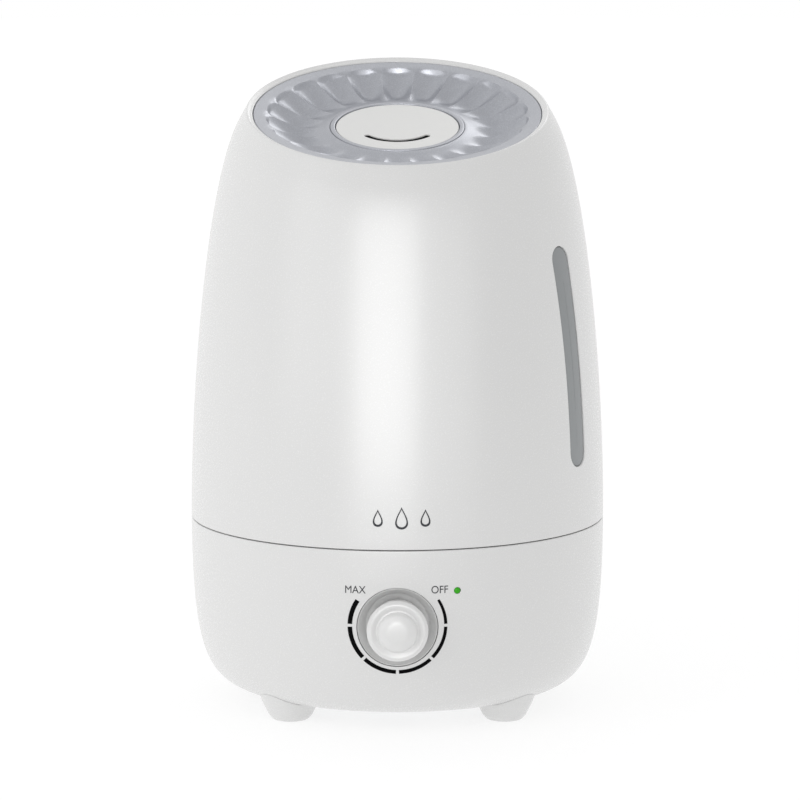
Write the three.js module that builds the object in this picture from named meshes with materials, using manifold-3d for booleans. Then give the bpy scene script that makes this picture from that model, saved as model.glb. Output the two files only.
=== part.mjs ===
// Cool mist humidifier: a slant-topped water tank that lifts off a round base.
// The base holds the wet basin, the ultrasonic transducer, the fan and the electronics.
// Millimetres, +Z up, front towards -Y, standing on z = 0.

import * as THREE from 'three';
import { mergeVertices } from 'three/addons/utils/BufferGeometryUtils.js';
import Module from 'manifold-3d';

const wasm = await Module();
wasm.setup();
const DEG = Math.PI / 180;

// ------------------------------------------------------------ driving dimensions

const GAP = 0.3; // clearance between pieces that meet

// Outer skin
const BODY_RADIUS = 105; // widest radius, at the seam
const SEAM_HEIGHT = 95; // level where the tank stands on the base
const SEAM_GAP = 0.5; // open line between tank and base
const RIM_HEIGHT = 300; // centre of the slanted rim
const RIM_RADIUS = 72.8; // inner edge of the rim
const RIM_TILT = 17.2 * DEG; // slope of the rim, down towards the front
const LEAN_START = 120; // sections below this height are level
const BASE_FLAT_RADIUS = BODY_RADIUS - 32; // flat part of the underside
const BASE_CLEARANCE = 9; // underside above the floor
const TANK_WALL = 2.8;
const CASING_WALL = 2.6;

// Feet
const FOOT_CIRCLE = BASE_FLAT_RADIUS + 2.5; // radius that the feet stand on
const FOOT_SOLE_RADIUS = 9;
const PAD_RADIUS = FOOT_SOLE_RADIUS - 2.2;
const PAD_THICKNESS = 0.9;
const PAD_PROUD = 0.4; // pad below the foot's rim

// Underside cover and the pieces that stand on it
const COVER_RADIUS = BASE_FLAT_RADIUS - 7;
const COVER_THICKNESS = 1.8;
const LEDGE_WIDTH = 7; // casing ledge that the cover screws to
const LEDGE_HEIGHT = 4;
const VENT_WIDTH = 3.6;
const VENT_PITCH = 8;
const FILTER_THICKNESS = 2;
const FAN_SIZE = 60;
const FAN_DEPTH = 15;
const FAN_BORE = FAN_SIZE / 2 - 2; // the rim around the bore is 2 wide
const FAN_HUB_RADIUS = 11;
const FAN_BLADES = 7;
const BLADE_PITCH = 40 * DEG;
const BLADE_CHORD = 13;
const BLADE_THICKNESS = 1.4;
const BLADE_TIP_GAP = 1.2;
const FAN_STANDOFF = 5.2; // cover to fan
const BOARD_WIDTH = 30;
const BOARD_LENGTH = 50;
const BOARD_THICKNESS = 1.6;
const BOARD_STANDOFF = 9;
const POST_RADIUS = 2.5;
const SINK_WIDTH = 18;
const SINK_LENGTH = 24;
const SINK_HEIGHT = 16;
const FIN_THICKNESS = 1.4;
const FIN_PITCH = 4;
const TRANSFORMER_SIZE = [22, 24, 18];
const CAPACITOR_RADIUS = 6;
const CAPACITOR_HEIGHT = 16;
const REED_SIZE = [14, 4, 3];

// Wet basin
const DECK_HEIGHT = SEAM_HEIGHT - 4.6; // top of the basin's rim
const BASIN_WALL = 2.4;
const POOL_RADIUS = BODY_RADIUS - 19;
const POOL_DEPTH = 18.4;
const SUMP_DEPTH = 14;
const DUCT_RADIUS = 7.5; // bore of the air duct
const DUCT_WALL = 1.8;
const DUCT_OFFSET = 16; // duct axis behind the chimney axis
const DUCT_COLLAR_HEIGHT = 16; // stands above the water

// Transducer
const TRANSDUCER_RADIUS = 12;
const SUMP_RADIUS = TRANSDUCER_RADIUS + 2.5;
const TRANSDUCER_THICKNESS = 1.2;
const SEAL_THICKNESS = 1.5;
const CLAMP_THICKNESS = 2.4;
const CLAMP_SCREW_PITCH = TRANSDUCER_RADIUS + 7; // screw to transducer axis
const TRANSDUCER_LEDGE = 3.5; // width that the seal bears on

// Tank floor, filler and chimney
const FLOOR_HEIGHT = SEAM_HEIGHT + 3; // underside of the tank floor
const FLOOR_THICKNESS = 2.4;
const FILLER_OFFSET = POOL_RADIUS - 27.5; // filler axis to tank axis
const NECK_BORE = 16.5;
const NECK_WALL = 2.5;
const NECK_LENGTH = 15;
const CAP_WALL = 2.4;
const CAP_SKIRT = 15;
const VALVE_HOLE = 8;
const VALVE_TRAVEL = 4; // plunger lift when the tank stands on the base
const VALVE_SEAL = 1.2;
const HEAD_THICKNESS = 1.4; // plunger's head
const STEM_RADIUS = 1.9;
const BRIDGE_RISE = 9; // plunger's head to the cap's bridge
const BRIDGE_WIDTH = 5;
const BRIDGE_THICKNESS = 2;
const SPRING_WIRE = 0.4; // radius of the wire
const SPRING_TURNS = 3;
const CHIMNEY_RADIUS = 22;
const CHIMNEY_WALL = 1.8;
const CHAMBER_RADIUS = CHIMNEY_RADIUS + 8; // mist chamber under the chimney
const CHAMBER_SKIRT = 14; // hangs below the tank floor
const FLOAT_RADIUS = 13;
const FLOAT_HEIGHT = 8;
const FLOAT_TRAVEL = 8;
const FLOAT_GUIDE_RADIUS = 5;

// Slanted top: distances are measured down from the rim plane
const SHELF_DEPTH = 5; // shelf under the ring
const SHELF_WIDTH = 6.4;
const RING_BAND = 6.6; // smooth band outside the flutes
const RING_THICKNESS = 2.2;
const RING_SEAL = 1.3; // thickness of the seal under the ring
const FLUTE_COUNT = 22;
const FLUTE_DEPTH = 3.2;
const FLUTE_INNER_RADIUS = 39;
const DISH_DEPTH = 9.6; // lowest circle of the dish
const DISC_RADIUS = 31;
const DISC_THICKNESS = 2.1;
const DISC_RECESS = 8.3; // disc below the rim plane
const SOCKET_RADIUS = 34;
const SOCKET_DEPTH = 13;
const SOCKET_END = 22;
const NOZZLE_BORE = 25; // bore that the disc's skirt turns in
const NOZZLE_TUBE_WALL = 2.2;
const SLIT_RADIUS = 19.5;
const SLIT_WIDTH = 3;
const SLIT_HALF_ANGLE = 50 * DEG;

// Water level window
const WINDOW_BEARING = 59.5 * DEG; // from the front, towards +X
const WINDOW_WIDTH = 15;
const WINDOW_BOTTOM = 127.5;
const WINDOW_TOP = 236.5;
const WINDOW_RECESS = 0.7;

// Dial
const DIAL_HEIGHT = 56.8;
const DISH_RADIUS = 19.5; // rim of the round recess
const DISH_FLOOR_RADIUS = 15.6;
const DISH_RECESS = 8.4;
const DISH_WALL = 1.6;
const KNOB_RADIUS = 15;
const KNOB_PROUD = 10; // knob flange in front of the casing
const DOME_RADIUS = 9.6;
const DOME_PROUD = 14; // dome in front of the casing
const POT_RADIUS = 8.2;
const POT_DEPTH = 11;
const BUSHING_RADIUS = 3.5;
const SHAFT_RADIUS = 3;

// Lamp and mains inlet
const LAMP_RADIUS = 1.5;
const LAMP_X = 29;
const LAMP_HEIGHT = 74.7;
const LAMP_LENGTH = 8;
const LAMP_BOARD_SIZE = [12, 8, 1.6];
const INLET_HEIGHT = 40;
const INLET_RADIUS = 6;
const INLET_BORE = 3.2;
const INLET_PROUD = 4;

const SCREW_RADIUS = 1.2;
const SCREW_HEAD_RADIUS = 2.8;
const SCREW_HEAD_HEIGHT = 1.6;

// ------------------------------------------------------------ geometry helpers

/** Signed volume of an indexed triangle mesh. */
function signedVolume(geometry) {
  const p = geometry.attributes.position;
  const index = geometry.index.array;
  const corners = [new THREE.Vector3(), new THREE.Vector3(), new THREE.Vector3()];
  let volume = 0;
  for (let i = 0; i < index.length; i += 3) {
    corners.forEach((corner, k) => corner.fromBufferAttribute(p, index[i + k]));
    volume += corners[0].dot(corners[1].cross(corners[2])) / 6;
  }
  return volume;
}

/** Welds the vertices, drops empty triangles and turns the faces outwards. */
function closed(source) {
  const bare = source.clone();
  Object.keys(bare.attributes).forEach((name) => {
    if (name !== 'position') bare.deleteAttribute(name);
  });
  const geometry = mergeVertices(bare, 1e-4);
  const old = geometry.index.array;
  const index = [];
  for (let i = 0; i < old.length; i += 3) {
    const [a, b, c] = [old[i], old[i + 1], old[i + 2]];
    if (a !== b && b !== c && c !== a) index.push(a, b, c);
  }
  geometry.setIndex(index);
  if (signedVolume(geometry) < 0) geometry.setIndex(index.reverse());
  return geometry;
}

/** Turns a profile of [radius, height] points about the Z axis. */
function revolve(profile, segments = 20) {
  const points = profile.map(([r, z]) => new THREE.Vector2(r, z));
  const first = points[0];
  const last = points[points.length - 1];
  if (first.x > 0 || last.x > 0) points.push(first.clone());
  return closed(new THREE.LatheGeometry(points, segments).rotateX(Math.PI / 2));
}

/** A ring or, with no bore, a rod, standing between two heights. */
function ring(outer, bore, low, high, segments = 20) {
  return revolve([[bore, low], [outer, low], [outer, high], [bore, high]], segments);
}
const rod = (radius, low, high, segments = 20) => ring(radius, 0, low, high, segments);

/** A box given by its centre in plan, its size in plan and its two heights. */
function block(x, y, width, depth, low, high) {
  return new THREE.BoxGeometry(width, depth, high - low).translate(x, y, (low + high) / 2);
}

/** Turns a shape drawn along +Z to point out of the front of the body at a height. */
const facingFront = (geometry, height) => geometry.rotateX(Math.PI / 2).translate(0, 0, height);

/** Turns a shape drawn along +Z to point out of the body at a bearing from the front. */
function facingBearing(geometry, height, bearing) {
  return facingFront(geometry, height).rotateZ(bearing);
}

function manifoldOf(geometry) {
  const solid = closed(geometry);
  return new wasm.Manifold(new wasm.Mesh({
    numProp: 3,
    vertProperties: new Float32Array(solid.attributes.position.array),
    triVerts: new Uint32Array(solid.index.array),
  }));
}

function geometryOf(manifold) {
  const { vertProperties, triVerts } = manifold.getMesh();
  const geometry = new THREE.BufferGeometry();
  geometry.setAttribute('position', new THREE.Float32BufferAttribute(vertProperties, 3));
  geometry.setIndex(Array.from(triVerts));
  return geometry;
}

function combine(operation, body, tools) {
  return geometryOf(tools.reduce((solid, tool) => solid[operation](manifoldOf(tool)), manifoldOf(body)));
}
const join = (body, ...tools) => combine('add', body, tools);
const cut = (body, ...tools) => combine('subtract', body, tools);
const common = (body, ...tools) => combine('intersect', body, tools);

/** Leans the level sections of an upright body, more and more up to the rim's tilt. */
function lean(geometry) {
  const p = geometry.attributes.position;
  for (let i = 0; i < p.count; i += 1) {
    const [x, y, z] = [p.getX(i), p.getY(i), p.getZ(i)];
    const share = THREE.MathUtils.smoothstep(z, LEAN_START, RIM_HEIGHT);
    const tilt = RIM_TILT * share;
    p.setXYZ(i, x, y * Math.cos(tilt), z + y * Math.sin(tilt));
  }
  return geometry;
}

/** Puts a shape drawn about the rim's own axis, rim plane at 0, onto the slanted top. */
const onTop = (geometry) => geometry.rotateX(RIM_TILT).translate(0, 0, RIM_HEIGHT);

/** Moves each point of a profile inwards, square to the curve. */
function inset(points, distance) {
  return points.map(([r, z], i) => {
    const [r0, z0] = points[Math.max(i - 1, 0)];
    const [r1, z1] = points[Math.min(i + 1, points.length - 1)];
    const length = Math.hypot(r1 - r0, z1 - z0);
    return [r - (distance * (z1 - z0)) / length, z + (distance * (r1 - r0)) / length];
  });
}

function curve(a, b, c, d, steps) {
  const bezier = new THREE.CubicBezierCurve(...[a, b, c, d].map(([r, z]) => new THREE.Vector2(r, z)));
  return bezier.getPoints(steps).map(({ x, y }) => [x, y]);
}

// ------------------------------------------------------------ outer skin

const SKIN_SEGMENTS = 36;
const SHOULDER = [RIM_RADIUS + 7.7, RIM_HEIGHT - 7.2];
const BASE_CURVE = curve(
  [BASE_FLAT_RADIUS, BASE_CLEARANCE],
  [BODY_RADIUS - 7, BASE_CLEARANCE],
  [BODY_RADIUS, BASE_CLEARANCE + 16],
  [BODY_RADIUS, SEAM_HEIGHT],
  6,
);
const WALL_CURVE = curve(
  [BODY_RADIUS, SEAM_HEIGHT],
  [BODY_RADIUS, SEAM_HEIGHT + 66.6],
  [RIM_RADIUS + 23.2, RIM_HEIGHT - 34.6],
  SHOULDER,
  7,
);
const SHOULDER_CURVE = curve(
  SHOULDER,
  [SHOULDER[0] - 6.7, SHOULDER[1] + 11.9],
  [RIM_RADIUS + 4.3, RIM_HEIGHT],
  [RIM_RADIUS, RIM_HEIGHT],
  4,
);

/** Radius of the base's skin at a height. */
function baseRadius(height) {
  const above = BASE_CURVE.findIndex(([, z]) => z >= height);
  const [r0, z0] = BASE_CURVE[above - 1];
  const [r1, z1] = BASE_CURVE[above];
  return r0 + ((r1 - r0) * (height - z0)) / (z1 - z0);
}

/** The space inside the base's skin, grown by a margin. */
function baseSolid(margin = 0) {
  const skin = inset(BASE_CURVE, -margin);
  return revolve([[0, skin[0][1]], ...skin, [0, SEAM_HEIGHT]], SKIN_SEGMENTS);
}

// ------------------------------------------------------------ materials

function finish(color, roughness, metalness = 0) {
  return new THREE.MeshStandardMaterial({ color, roughness, metalness });
}
const WHITE_ABS = finish(0xe6e6e5, 0.25);
const INNER_ABS = finish(0xd9dadb, 0.45);
const SILVER_PAINT = finish(0xb9bbc1, 0.35, 0.4);
const SMOKE_CLEAR = finish(0x8f9293, 0.2);
const DISC_WHITE = finish(0xdddddb, 0.4);
const BLACK_RUBBER = finish(0x1d1d1f, 0.85);
const SILICONE = finish(0xcfd2d2, 0.6);
const STEEL = finish(0xaeb1b4, 0.3, 0.9);
const BRASS = finish(0xb89a55, 0.35, 0.9);
const CIRCUIT_BOARD = finish(0x2f6b3c, 0.55);
const BLACK_PLASTIC = finish(0x222326, 0.5);
const ALUMINIUM = finish(0xb5b8bb, 0.4, 0.85);
const GREEN_LENS = finish(0x3fae1f, 0.2);
const FOAM = finish(0x4a4c4f, 0.95);
const FLOAT_FOAM = finish(0xe9e4d2, 0.8);

// ------------------------------------------------------------ assembly

const humidifier = new THREE.Group();
const base = new THREE.Group();
const tank = new THREE.Group();
humidifier.add(base, tank);

function addPart(name, geometry, material, group) {
  const solid = closed(geometry);
  solid.computeVertexNormals();
  const mesh = new THREE.Mesh(solid, material);
  mesh.name = name;
  group.add(mesh);
  return mesh;
}

// Places that several pieces share
const CHIMNEY_TOP = SOCKET_END + GAP + SEAL_THICKNESS + GAP; // below the rim plane
const CHIMNEY_Y = CHIMNEY_TOP * Math.sin(RIM_TILT);
const TRANSDUCER_Y = CHIMNEY_Y + 1 - TRANSDUCER_RADIUS;
const DUCT_Y = CHIMNEY_Y + DUCT_OFFSET;
const COVER_TOP = BASE_CLEARANCE + COVER_THICKNESS;
const LEDGE_BOTTOM = COVER_TOP + GAP;
const LEDGE_TOP = LEDGE_BOTTOM + LEDGE_HEIGHT;
const LEDGE_RADIUS = COVER_RADIUS + GAP - LEDGE_WIDTH;
const COVER_SCREW_CIRCLE = LEDGE_RADIUS + LEDGE_WIDTH / 2;
const FAN_BOTTOM = COVER_TOP + FAN_STANDOFF + GAP;
const FAN_TOP = FAN_BOTTOM + FAN_DEPTH;
const FAN_HOLE = FAN_SIZE / 2 - 5;
const BOARD_BOTTOM = COVER_TOP + BOARD_STANDOFF + GAP;
const BOARD_TOP = BOARD_BOTTOM + BOARD_THICKNESS;
const BOARD_X = FAN_SIZE / 2 + 4 + BOARD_WIDTH / 2;
const POOL_FLOOR = DECK_HEIGHT - POOL_DEPTH;
const BASIN_UNDERSIDE = POOL_FLOOR - BASIN_WALL;
const SUMP_FLOOR = POOL_FLOOR - SUMP_DEPTH;
const SUMP_UNDERSIDE = SUMP_FLOOR - BASIN_WALL;
const CASING_FACE = baseRadius(DIAL_HEIGHT); // body axis to the skin at the dial
const DISH_FLOOR = CASING_FACE - DISH_RECESS;
const DISH_BACK = DISH_FLOOR - DISH_WALL;

const quarters = [0, 1, 2, 3].map((k) => k * 90 * DEG);
const diagonals = [
  ['front_right', -45 * DEG],
  ['back_right', 45 * DEG],
  ['back_left', 135 * DEG],
  ['front_left', 225 * DEG],
];
const polar = (radius, angle) => [radius * Math.cos(angle), radius * Math.sin(angle)];

// ---- base casing, feet and underside

/** A cutter for a round hole through the casing's wall. */
function throughCasing(radius, segments) {
  return rod(radius + GAP, BODY_RADIUS - 25, BODY_RADIUS + 15, segments);
}

function baseCasing() {
  const top = SEAM_HEIGHT - SEAM_GAP / 2;
  const inner = BODY_RADIUS - CASING_WALL;
  const shelf = DECK_HEIGHT - BASIN_WALL - GAP; // the basin's rim lies on it
  const outside = BASE_CURVE.slice(0, -1);
  const inside = inset(BASE_CURVE, CASING_WALL).slice(0, -1).reverse();
  const shell = revolve([
    [COVER_RADIUS + GAP, BASE_CLEARANCE],
    ...outside,
    [BODY_RADIUS, top],
    [inner, top],
    [inner, shelf],
    [inner - 3.4, shelf],
    [inner - 0.2, shelf - 7],
    ...inside.filter(([, z]) => z < shelf - 9),
    [COVER_RADIUS + 4, BASE_CLEARANCE + CASING_WALL],
    [COVER_RADIUS + 3, LEDGE_TOP],
    [LEDGE_RADIUS, LEDGE_TOP],
    [LEDGE_RADIUS, LEDGE_BOTTOM],
    [COVER_RADIUS + GAP, LEDGE_BOTTOM],
  ], SKIN_SEGMENTS);
  const screwHoles = quarters.map((angle) => {
    const [x, y] = polar(COVER_SCREW_CIRCLE, angle);
    return rod(SCREW_RADIUS + GAP, 0, LEDGE_TOP + 1, 8).translate(x, y, 0);
  });
  return cut(
    shell,
    facingFront(throughCasing(DISH_RADIUS, 28), DIAL_HEIGHT),
    facingBearing(throughCasing(LAMP_RADIUS, 12), LAMP_HEIGHT, LAMP_BEARING),
    facingBearing(throughCasing(INLET_RADIUS, 16), INLET_HEIGHT, Math.PI),
    ...screwHoles,
  );
}

function foot(angle) {
  const seat = PAD_THICKNESS + GAP;
  const stub = revolve([
    [0, seat],
    [PAD_RADIUS + GAP, seat],
    [PAD_RADIUS + GAP, PAD_PROUD],
    [FOOT_SOLE_RADIUS, PAD_PROUD],
    [FOOT_SOLE_RADIUS + 1.9, PAD_PROUD + 2.2],
    [FOOT_SOLE_RADIUS + 5.2, PAD_PROUD + 8.8],
    [FOOT_SOLE_RADIUS + 8.4, PAD_PROUD + 19],
    [0, PAD_PROUD + 19],
  ], 16);
  const [x, y] = polar(FOOT_CIRCLE, angle);
  const below = revolve([
    [COVER_RADIUS + GAP, -1],
    [BODY_RADIUS + 10, -1],
    [BODY_RADIUS + 10, SEAM_HEIGHT],
    [COVER_RADIUS + GAP, SEAM_HEIGHT],
  ], SKIN_SEGMENTS);
  return cut(common(stub.translate(x, y, 0), below), baseSolid(GAP));
}

function bottomCover() {
  const posts = [];
  for (const side of [-1, 1]) {
    for (const end of [-1, 1]) {
      posts.push(rod(POST_RADIUS, COVER_TOP - 1, FAN_BOTTOM - GAP, 6)
        .translate(side * FAN_HOLE, DUCT_Y + end * FAN_HOLE, 0));
      for (const x of [BOARD_X - BOARD_WIDTH / 2 + 4, BOARD_X + 3]) {
        posts.push(rod(POST_RADIUS, COVER_TOP - 1, BOARD_BOTTOM - GAP, 6)
          .translate(side * x, end * (BOARD_LENGTH / 2 - 7), 0));
      }
    }
  }
  const vents = [];
  const half = FAN_BORE - 4;
  for (let row = -half + VENT_WIDTH; row <= half; row += VENT_PITCH) {
    const length = 2 * Math.sqrt(half * half - (row - VENT_WIDTH / 2) ** 2);
    vents.push(block(0, DUCT_Y + row - VENT_WIDTH / 2, length, VENT_WIDTH, 0, COVER_TOP + 1));
  }
  const holes = quarters.map((angle) => {
    const [x, y] = polar(COVER_SCREW_CIRCLE, angle);
    return rod(SCREW_RADIUS + GAP, 0, COVER_TOP + 1, 8).translate(x, y, 0);
  });
  const plate = rod(COVER_RADIUS, BASE_CLEARANCE, COVER_TOP, SKIN_SEGMENTS);
  return cut(join(plate, ...posts), ...vents, ...holes);
}

/** A pan head screw pointing up, the underside of its head at z = 0. */
function screw(length) {
  return revolve([
    [0, -SCREW_HEAD_HEIGHT],
    [SCREW_HEAD_RADIUS * 0.6, -SCREW_HEAD_HEIGHT],
    [SCREW_HEAD_RADIUS, -SCREW_HEAD_HEIGHT * 0.4],
    [SCREW_HEAD_RADIUS, 0],
    [SCREW_RADIUS, 0],
    [SCREW_RADIUS, length],
    [0, length],
  ], 8);
}

const LAMP_BEARING = Math.asin(LAMP_X / baseRadius(LAMP_HEIGHT));
addPart('base_casing', baseCasing(), WHITE_ABS, base);
for (const [name, angle] of diagonals) {
  const [x, y] = polar(FOOT_CIRCLE, angle);
  const pad = rod(PAD_RADIUS, 0, PAD_THICKNESS, 16).translate(x, y, 0);
  addPart(`foot_${name}`, foot(angle), WHITE_ABS, base);
  addPart(`foot_pad_${name}`, pad, BLACK_RUBBER, base);
}
addPart('bottom_cover', bottomCover(), INNER_ABS, base);
quarters.forEach((angle, i) => {
  const [x, y] = polar(COVER_SCREW_CIRCLE, angle);
  const length = COVER_THICKNESS + LEDGE_HEIGHT;
  addPart(`cover_screw_${i + 1}`, screw(length).translate(x, y, BASE_CLEARANCE - GAP), STEEL, base);
});
addPart('dust_filter', rod(FAN_BORE - 2, COVER_TOP + GAP, COVER_TOP + GAP + FILTER_THICKNESS, 20)
  .translate(0, DUCT_Y, 0), FOAM, base);

// ---- fan

function fanFrame() {
  const low = FAN_BOTTOM;
  const frame = block(0, 0, FAN_SIZE, FAN_SIZE, low, FAN_TOP);
  const holes = [-1, 1].flatMap((sx) => [-1, 1].map((sy) =>
    rod(2, low - 1, FAN_TOP + 1, 8).translate(sx * FAN_HOLE, sy * FAN_HOLE, 0)));
  const struts = [0, 1, 2].map((k) =>
    block(0, FAN_BORE / 2 + 2, 3, FAN_BORE, low, low + 2).rotateZ((k * 120 + 30) * DEG));
  const bored = cut(frame, rod(FAN_BORE, low - 1, FAN_TOP + 1, 24), ...holes);
  return join(bored, rod(FAN_HUB_RADIUS, low, low + 2, 12), ...struts).translate(0, DUCT_Y, 0);
}

function fanRotor() {
  const low = FAN_BOTTOM + 2 + GAP * 2;
  const high = FAN_TOP - 1;
  const blades = [];
  for (let k = 0; k < FAN_BLADES; k += 1) {
    const reach = FAN_BORE - BLADE_TIP_GAP - FAN_HUB_RADIUS;
    const blade = new THREE.BoxGeometry(reach + 2, BLADE_THICKNESS, BLADE_CHORD);
    blade.rotateX(BLADE_PITCH).translate(FAN_HUB_RADIUS + reach / 2 - 1, 0, (low + high) / 2);
    blades.push(blade.rotateZ((k * 360 * DEG) / FAN_BLADES));
  }
  const slab = rod(FAN_BORE - BLADE_TIP_GAP, low, high, 24);
  const hub = rod(FAN_HUB_RADIUS, low, high, 14);
  return join(hub, ...blades.map((blade) => common(blade, slab))).translate(0, DUCT_Y, 0);
}

function airDuct() {
  const low = FAN_TOP + GAP;
  const neck = low + 16;
  const high = BASIN_UNDERSIDE - GAP;
  return revolve([
    [FAN_BORE - DUCT_WALL, low],
    [FAN_BORE, low],
    [FAN_BORE, low + 2],
    [DUCT_RADIUS + DUCT_WALL, neck],
    [DUCT_RADIUS + DUCT_WALL, high],
    [DUCT_RADIUS, high],
    [DUCT_RADIUS, neck],
    [FAN_BORE - DUCT_WALL, low + 2],
  ]).translate(0, DUCT_Y, 0);
}

addPart('fan_frame', fanFrame(), BLACK_PLASTIC, base);
addPart('fan_rotor', fanRotor(), BLACK_PLASTIC, base);
addPart('air_duct', airDuct(), INNER_ABS, base);

// ---- wet basin and transducer

function waterBasin() {
  const rim = BODY_RADIUS - CASING_WALL - GAP;
  const tray = revolve([
    [0, BASIN_UNDERSIDE],
    [POOL_RADIUS + BASIN_WALL, BASIN_UNDERSIDE],
    [POOL_RADIUS + BASIN_WALL, DECK_HEIGHT - BASIN_WALL],
    [rim, DECK_HEIGHT - BASIN_WALL],
    [rim, DECK_HEIGHT],
    [POOL_RADIUS, DECK_HEIGHT],
    [POOL_RADIUS, POOL_FLOOR],
    [0, POOL_FLOOR],
  ], SKIN_SEGMENTS);
  const sump = rod(SUMP_RADIUS + BASIN_WALL, SUMP_UNDERSIDE, POOL_FLOOR).translate(0, TRANSDUCER_Y, 0);
  const collar = rod(DUCT_RADIUS + DUCT_WALL, BASIN_UNDERSIDE, POOL_FLOOR + DUCT_COLLAR_HEIGHT)
    .translate(0, DUCT_Y, 0);
  const bosses = [-1, 1].map((side) => rod(3.2, SUMP_UNDERSIDE, POOL_FLOOR, 12)
    .translate(side * CLAMP_SCREW_PITCH, TRANSDUCER_Y, 0));
  const guide = rod(FLOAT_GUIDE_RADIUS, BASIN_UNDERSIDE + 1, POOL_FLOOR + FLOAT_HEIGHT + FLOAT_TRAVEL, 16)
    .translate(FILLER_OFFSET, 0, 0);
  const pin = revolve([
    [0, BASIN_UNDERSIDE + 1],
    [4, BASIN_UNDERSIDE + 1],
    [4, POOL_FLOOR + 1],
    [2.2, POOL_FLOOR + 2],
    [2.2, STEM_BOTTOM - GAP],
    [0, STEM_BOTTOM - GAP],
  ], 16).translate(-FILLER_OFFSET, 0, 0);
  const screwHoles = [-1, 1].map((side) => rod(SCREW_RADIUS + GAP, SUMP_UNDERSIDE - 1, SUMP_FLOOR + 3, 8)
    .translate(side * CLAMP_SCREW_PITCH, TRANSDUCER_Y, 0));
  return cut(
    join(tray, sump, collar, ...bosses, guide, pin),
    rod(SUMP_RADIUS, SUMP_FLOOR, POOL_FLOOR + 1).translate(0, TRANSDUCER_Y, 0),
    rod(TRANSDUCER_RADIUS - TRANSDUCER_LEDGE, 0, SUMP_FLOOR + 1).translate(0, TRANSDUCER_Y, 0),
    rod(DUCT_RADIUS, 0, SEAM_HEIGHT).translate(0, DUCT_Y, 0),
    ...screwHoles,
  );
}

function transducerClamp(low, high) {
  const bar = block(0, 0, 2 * CLAMP_SCREW_PITCH + 7, 7, low, high);
  const body = join(rod(TRANSDUCER_RADIUS + 2, low, high), bar);
  const holes = [-1, 1].map((side) => rod(SCREW_RADIUS + GAP, low - 1, high + 1, 8)
    .translate(side * CLAMP_SCREW_PITCH, 0, 0));
  return cut(body, rod(TRANSDUCER_RADIUS - TRANSDUCER_LEDGE, low - 1, high + 1), ...holes);
}

const CAP_PLATE_TOP = FLOOR_HEIGHT - NECK_LENGTH - 2 * GAP - SEAL_THICKNESS;
const CAP_PLATE_BOTTOM = CAP_PLATE_TOP - CAP_WALL;
const STEM_BOTTOM = CAP_PLATE_BOTTOM - 2 + VALVE_TRAVEL; // the pin has lifted the plunger
addPart('water_basin', waterBasin(), INNER_ABS, base);
const SEAL_BOTTOM = SUMP_UNDERSIDE - GAP - SEAL_THICKNESS;
const PIEZO_BOTTOM = SEAL_BOTTOM - GAP - TRANSDUCER_THICKNESS;
const CLAMP_TOP = PIEZO_BOTTOM - GAP;
const CLAMP_BOTTOM = CLAMP_TOP - CLAMP_THICKNESS;
addPart('transducer_seal', ring(TRANSDUCER_RADIUS, TRANSDUCER_RADIUS - TRANSDUCER_LEDGE + 0.1, SEAL_BOTTOM,
  SEAL_BOTTOM + SEAL_THICKNESS).translate(0, TRANSDUCER_Y, 0), SILICONE, base);
addPart('transducer_disc', rod(TRANSDUCER_RADIUS, PIEZO_BOTTOM, PIEZO_BOTTOM + TRANSDUCER_THICKNESS)
  .translate(0, TRANSDUCER_Y, 0), BRASS, base);
addPart('transducer_clamp', transducerClamp(CLAMP_BOTTOM, CLAMP_TOP).translate(0, TRANSDUCER_Y, 0),
  INNER_ABS, base);
[-1, 1].forEach((side, i) => {
  const length = CLAMP_THICKNESS + SEAL_THICKNESS + TRANSDUCER_THICKNESS + 4;
  addPart(`clamp_screw_${i + 1}`, screw(length)
    .translate(side * CLAMP_SCREW_PITCH, TRANSDUCER_Y, CLAMP_BOTTOM - GAP), STEEL, base);
});

// ---- electronics

function heatSink() {
  const low = BOARD_TOP + GAP;
  const fins = [-2, -1, 0, 1, 2].map((k) =>
    block(k * FIN_PITCH, 0, FIN_THICKNESS, SINK_LENGTH, low + 1, low + SINK_HEIGHT));
  return join(block(0, 0, SINK_WIDTH, SINK_LENGTH, low, low + 2), ...fins).translate(-BOARD_X, 8, 0);
}

const board = (side) => block(side * BOARD_X, 0, BOARD_WIDTH, BOARD_LENGTH, BOARD_BOTTOM, BOARD_TOP);
addPart('driver_board', board(-1), CIRCUIT_BOARD, base);
addPart('heat_sink', heatSink(), ALUMINIUM, base);
addPart('power_board', board(1), CIRCUIT_BOARD, base);
addPart('transformer', block(BOARD_X, -10, TRANSFORMER_SIZE[0], TRANSFORMER_SIZE[1],
  BOARD_TOP + GAP, BOARD_TOP + TRANSFORMER_SIZE[2]), BLACK_PLASTIC, base);
addPart('smoothing_capacitor', rod(CAPACITOR_RADIUS, BOARD_TOP + GAP, BOARD_TOP + CAPACITOR_HEIGHT, 14)
  .translate(BOARD_X, 14, 0), BLACK_PLASTIC, base);
addPart('reed_switch', block(FILLER_OFFSET, 0, REED_SIZE[0], REED_SIZE[1],
  BASIN_UNDERSIDE - GAP - REED_SIZE[2], BASIN_UNDERSIDE - GAP), BLACK_PLASTIC, base);

// ---- dial, lamp and inlet

function dialDish() {
  const cup = revolve([
    [BUSHING_RADIUS + GAP, DISH_BACK],
    [DISH_FLOOR_RADIUS, DISH_BACK],
    [DISH_RADIUS, DISH_FLOOR + 2],
    [DISH_RADIUS, CASING_FACE + 5],
    [DISH_RADIUS - 0.9, CASING_FACE + 5],
    [DISH_RADIUS - 0.9, CASING_FACE - 1.6],
    [DISH_FLOOR_RADIUS, DISH_FLOOR],
    [BUSHING_RADIUS + GAP, DISH_FLOOR],
  ], 28);
  return common(facingFront(cup, DIAL_HEIGHT), baseSolid());
}

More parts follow.
